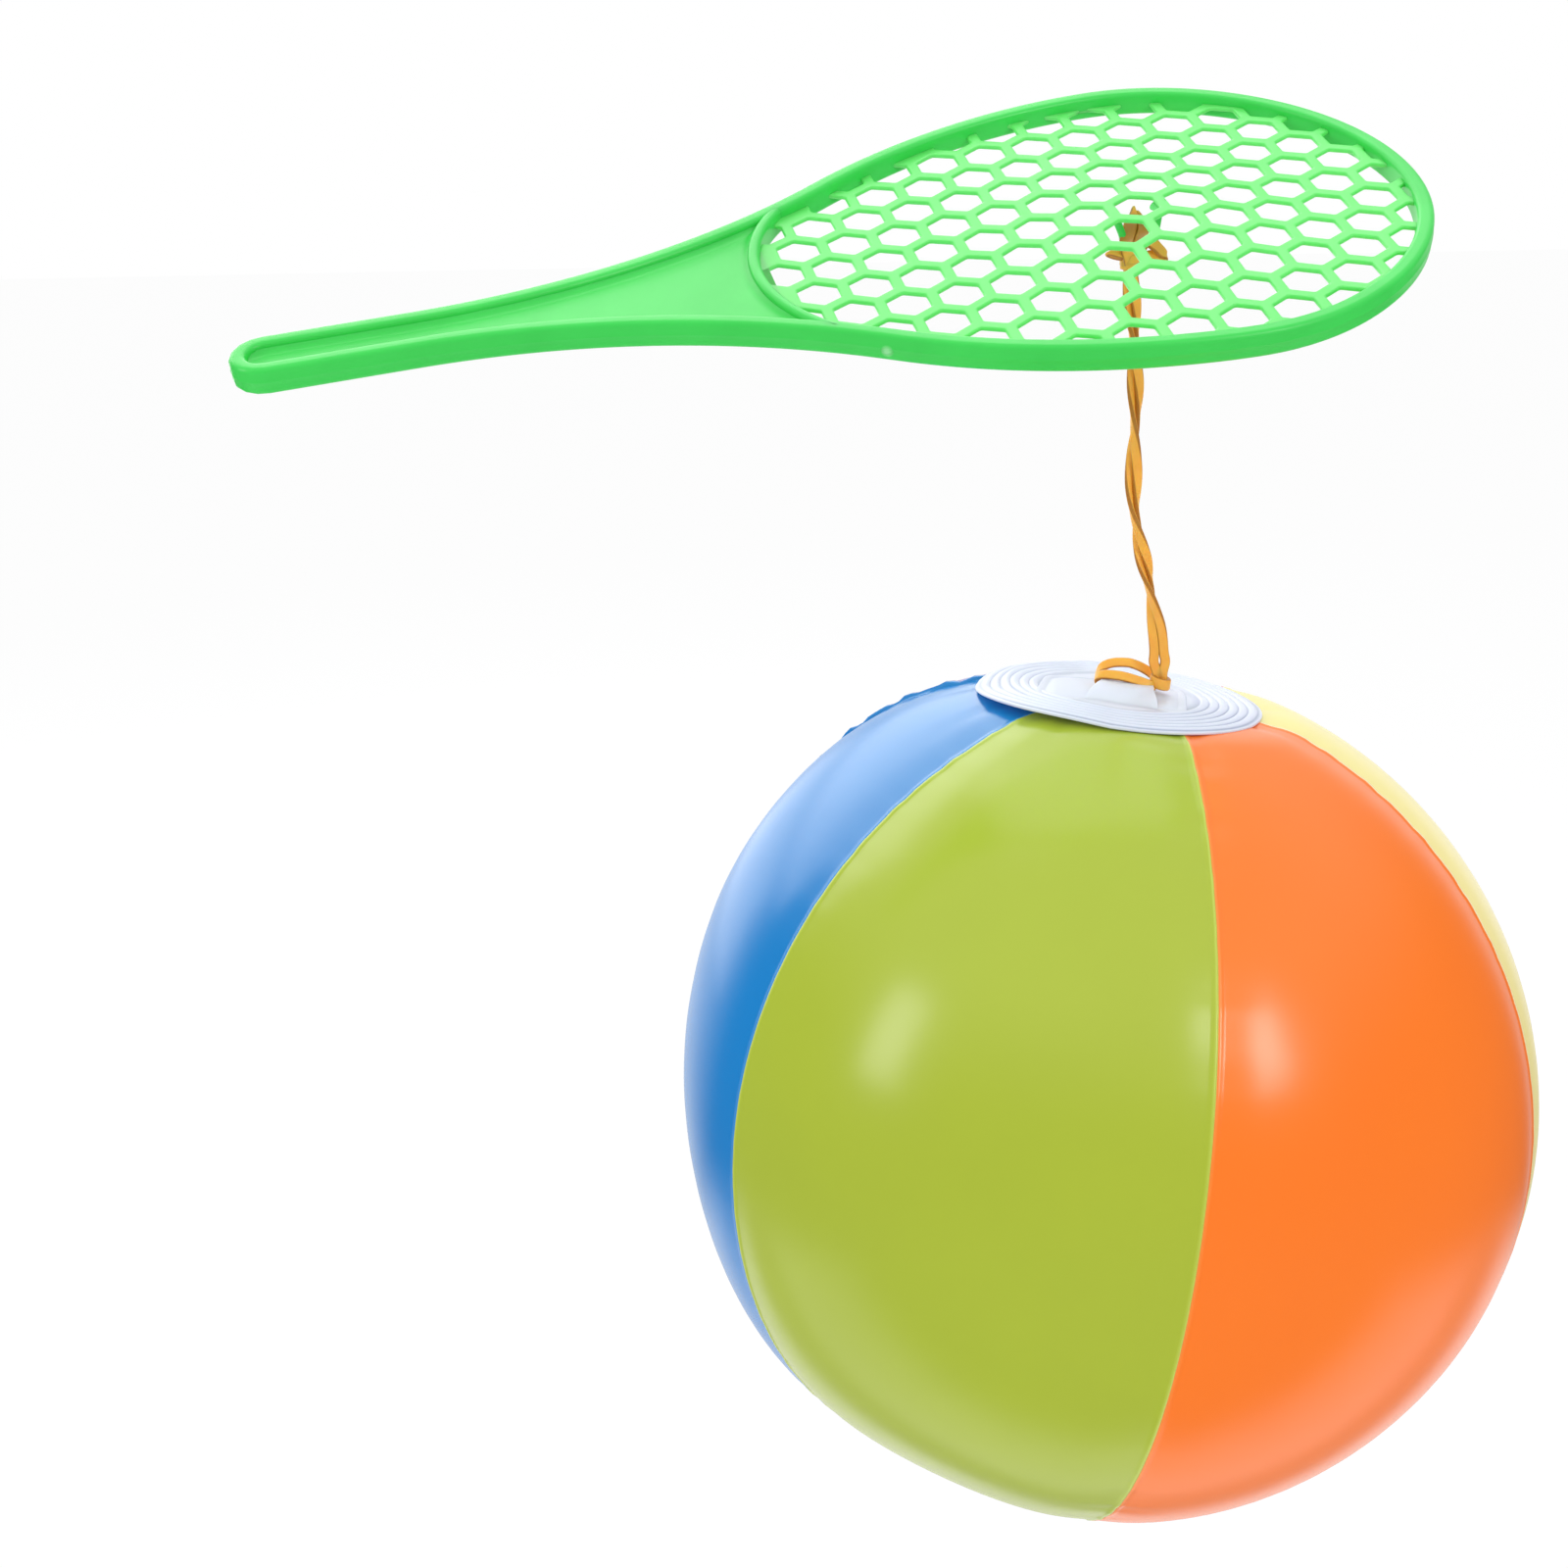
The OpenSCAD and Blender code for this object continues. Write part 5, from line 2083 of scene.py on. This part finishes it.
@dataclass(frozen=True)
class Studio:
    """A plain pale floor, soft lamps, a white surround and the camera."""

    hold: Hold = Hold()
    floor_z: float = -0.47
    floor_half: float = 6.0
    floor_points: int = 9
    floor_colour: str = "f6f6f7"
    floor_glow: float = 0.92
    surround: float = 0.8
    # In a reflection the room is dim, apart from the surround ahead and above and from bands of the floor
    dim_room: float = 0.1
    dim_gap: float = 0.3
    room_ahead: Pair = (0.5, 0.85)
    room_above: Pair = (0.2, 0.75)
    floor_near: Pair = (-0.25, -0.05)
    floor_gap: Pair = (0.32, 0.22)
    floor_far: Pair = (0.46, 0.56)
    floor_under: Pair = (0.40, 0.58)
    camera_off: Triple = (-143.0, -413.1, 210.5)
    camera_forward: Triple = (0.1656, 0.9362, -0.3100)
    camera_right: Triple = (0.9844, -0.1757, -0.0047)
    focal_px: float = 2200.0
    sensor_mm: float = 36.0
    clip_m: Pair = (0.01, 50.0)
    lamps: tuple[SoftBox, ...] = (
        SoftBox("box_left", (0.062, -0.051, -0.125), (-0.913, -0.176, 0.368), 1.1, 0.22, 0.46, 5.5),
        SoftBox("box_right", (0.126, -0.078, -0.123), (0.403, -0.768, 0.497), 1.1, 0.24, 0.36, 9.5),
        SoftBox("box_top", (0.10, 0.05, -0.05), (0.05, 0.30, 0.95), 1.3, 1.0, 0.8, 1.8),
        SoftBox("box_back", (0.10, 0.0, -0.15), (-0.25, 0.80, 0.54), 1.4, 1.5, 0.9, 1.9),
        SoftBox("box_low", (0.06, 0.0, -0.15), (-0.33, 0.94, 0.03), 1.4, 0.8, 0.5, 0.9),
    )

    def camera(self) -> Object:
        """Makes the camera at the photograph's angle.

        Returns:
            The camera.
        """
        lens = bpy.data.cameras.new("camera")
        lens.sensor_width = self.sensor_mm
        lens.lens = self.focal_px / IMAGE_SIDE * self.sensor_mm
        lens.clip_start, lens.clip_end = self.clip_m
        item = bpy.data.objects.new("camera", lens)
        place = (self.hold.ball().shift + np.array(self.camera_off)) * MM
        stood(item, unit(np.array(self.camera_right)), -unit(np.array(self.camera_forward)), place)
        bpy.context.scene.camera = item
        return item

    def ahead(self) -> Side:
        """The white side of the room that the camera looks to, along the level."""
        level = unit(np.array(self.camera_forward) * [1.0, 1.0, 0.0])
        return Side(Join.BRIGHTEN, tuple(level.tolist()), self.room_ahead, self.dim_room)

    def seen(
        self,
        tree: NodeTree,
        way: NodeSocket,
        sides: tuple[Side, ...],
        mirror_kind: str,
        plain: NodeSocket,
        shown: NodeSocket,
    ) -> NodeSocket:
        """Mixes what lights the object, what a reflection shows and what the camera sees.

        Args:
            tree: the tree that the nodes go into.
            way: directions from the object.
            sides: the sides of the room that a reflection shows, each joined to those before it.
            mirror_kind: type of the node that a reflection shows.
            plain: what lights the object.
            shown: what the camera sees, straight or through a clear piece.

        Returns:
            The mixed shader.
        """
        strength = None
        for side in sides:
            along = add_node(tree, "VectorMath", {"operation": "DOT_PRODUCT"}, {1: side.way}, {0: way})
            lit = mapped(tree, along.outputs["Value"], side.span, (side.low, 1.0), Ramp.SOFT)
            if strength:
                both = add_node(tree, "Math", {"operation": side.join.value}, links={0: strength, 1: lit})
                lit = both.outputs[0]
            strength = lit
        mirror = add_node(tree, mirror_kind, values=WHITE_LIGHT, links={"Strength": strength})
        path = add_node(tree, "LightPath").outputs
        straight = add_node(
            tree,
            "Math",
            {"operation": "MAXIMUM"},
            links={0: path["Is Camera Ray"], 1: path["Is Transmission Ray"]},
        )
        mix = add_node(tree, "MixShader", links={0: path["Is Glossy Ray"], 1: plain, 2: mirror.outputs[0]})
        mix = add_node(tree, "MixShader", links={0: straight.outputs[0], 1: mix.outputs[0], 2: shown})
        return mix.outputs[0]

    def world(self) -> None:
        """A white surround that lights the object at a plain level and is white where it is seen."""
        world = bpy.data.worlds.new("white_surround")
        world.use_nodes = True
        bpy.context.scene.world = world
        tree = world.node_tree
        tree.nodes.clear()
        way = add_node(tree, "TexCoord").outputs["Generated"]
        fill = add_node(tree, "Background", values={**WHITE_LIGHT, "Strength": self.surround})
        shown = add_node(tree, "Background", values={**WHITE_LIGHT, "Strength": 1.0})
        sides = (self.ahead(), Side(Join.BRIGHTEN, (0.0, 0.0, 1.0), self.room_above, self.dim_room))
        mix = self.seen(tree, way, sides, "Background", fill.outputs[0], shown.outputs[0])
        add_node(tree, "OutputWorld", links={"Surface": mix})

    def floor(self) -> Object:
        """A plain pale floor that keeps the object's shadow.

        Returns:
            The floor.
        """
        side = np.linspace(-self.floor_half, self.floor_half, self.floor_points)
        x, y = np.meshgrid(side, side, indexing="ij")
        shell = grid_shell(np.stack([x, y, 0 * x + self.floor_z], axis=-1))
        mesh = bpy.data.meshes.new("floor")
        mesh.from_pydata(shell.points.tolist(), [], shell.quads.tolist())
        material = bpy.data.materials.new("floor_paper_matt")
        material.use_nodes = True
        tree = material.node_tree
        tree.nodes.clear()
        paper = add_node(tree, "BsdfDiffuse", values={"Color": linear(self.floor_colour)}).outputs[0]
        glow = add_node(tree, "Emission", values={**WHITE_LIGHT, "Strength": 1.0}).outputs[0]
        shown = add_node(tree, "MixShader", values={0: self.floor_glow}, links={1: paper, 2: glow})
        place = add_node(tree, "TexCoord").outputs["Object"]
        middle = tuple((self.hold.ball().shift * MM).tolist())
        arm = add_node(tree, "VectorMath", {"operation": "SUBTRACT"}, {1: middle}, {0: place})
        way = add_node(tree, "VectorMath", {"operation": "NORMALIZE"}, links={0: arm.outputs[0]})
        sides = (
            Side(Join.BRIGHTEN, self.camera_forward, self.floor_near, self.dim_room),
            Side(Join.DIM, self.camera_forward, self.floor_gap, self.dim_gap),
            Side(Join.BRIGHTEN, self.camera_forward, self.floor_far, self.dim_room),
            Side(Join.DIM, (0.0, 0.0, -1.0), self.floor_under, self.dim_room),
            self.ahead(),
        )
        mix = self.seen(tree, way.outputs[0], sides, "Emission", paper, shown.outputs[0])
        add_node(tree, "OutputMaterial", links={"Surface": mix})
        mesh.materials.append(material)
        floor = bpy.data.objects.new("floor", mesh)
        bpy.context.scene.collection.objects.link(floor)
        return floor

    def build(self) -> None:
        """Makes the camera, the surround, the floor and the lamps."""
        self.camera()
        self.world()
        self.floor()
        for lamp in self.lamps:
            lamp.build()
        bpy.context.scene.view_settings.view_transform = "Standard"


def corners(box: tuple) -> list[list[float]]:
    """A box's two corners as plain lists of numbers."""
    return [[float(v) for v in corner] for corner in box]


def main() -> None:
    """Loads the solids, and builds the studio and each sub-assembly in order."""
    logging.basicConfig(level=logging.INFO, format="%(name)s: %(message)s")
    for item in list(bpy.data.objects):
        bpy.data.objects.remove(item)
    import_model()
    Studio().build()
    pieces = []
    for part in (RubberBand(), Paddle(), Ball(), Valve()):
        made = part.build()
        pieces += made
        LOG.info("%s: %s", type(part).__name__, ", ".join(piece.name for piece in made))
    LOG.info("%d pieces", len(pieces))


if __name__ == "__main__":
    main()
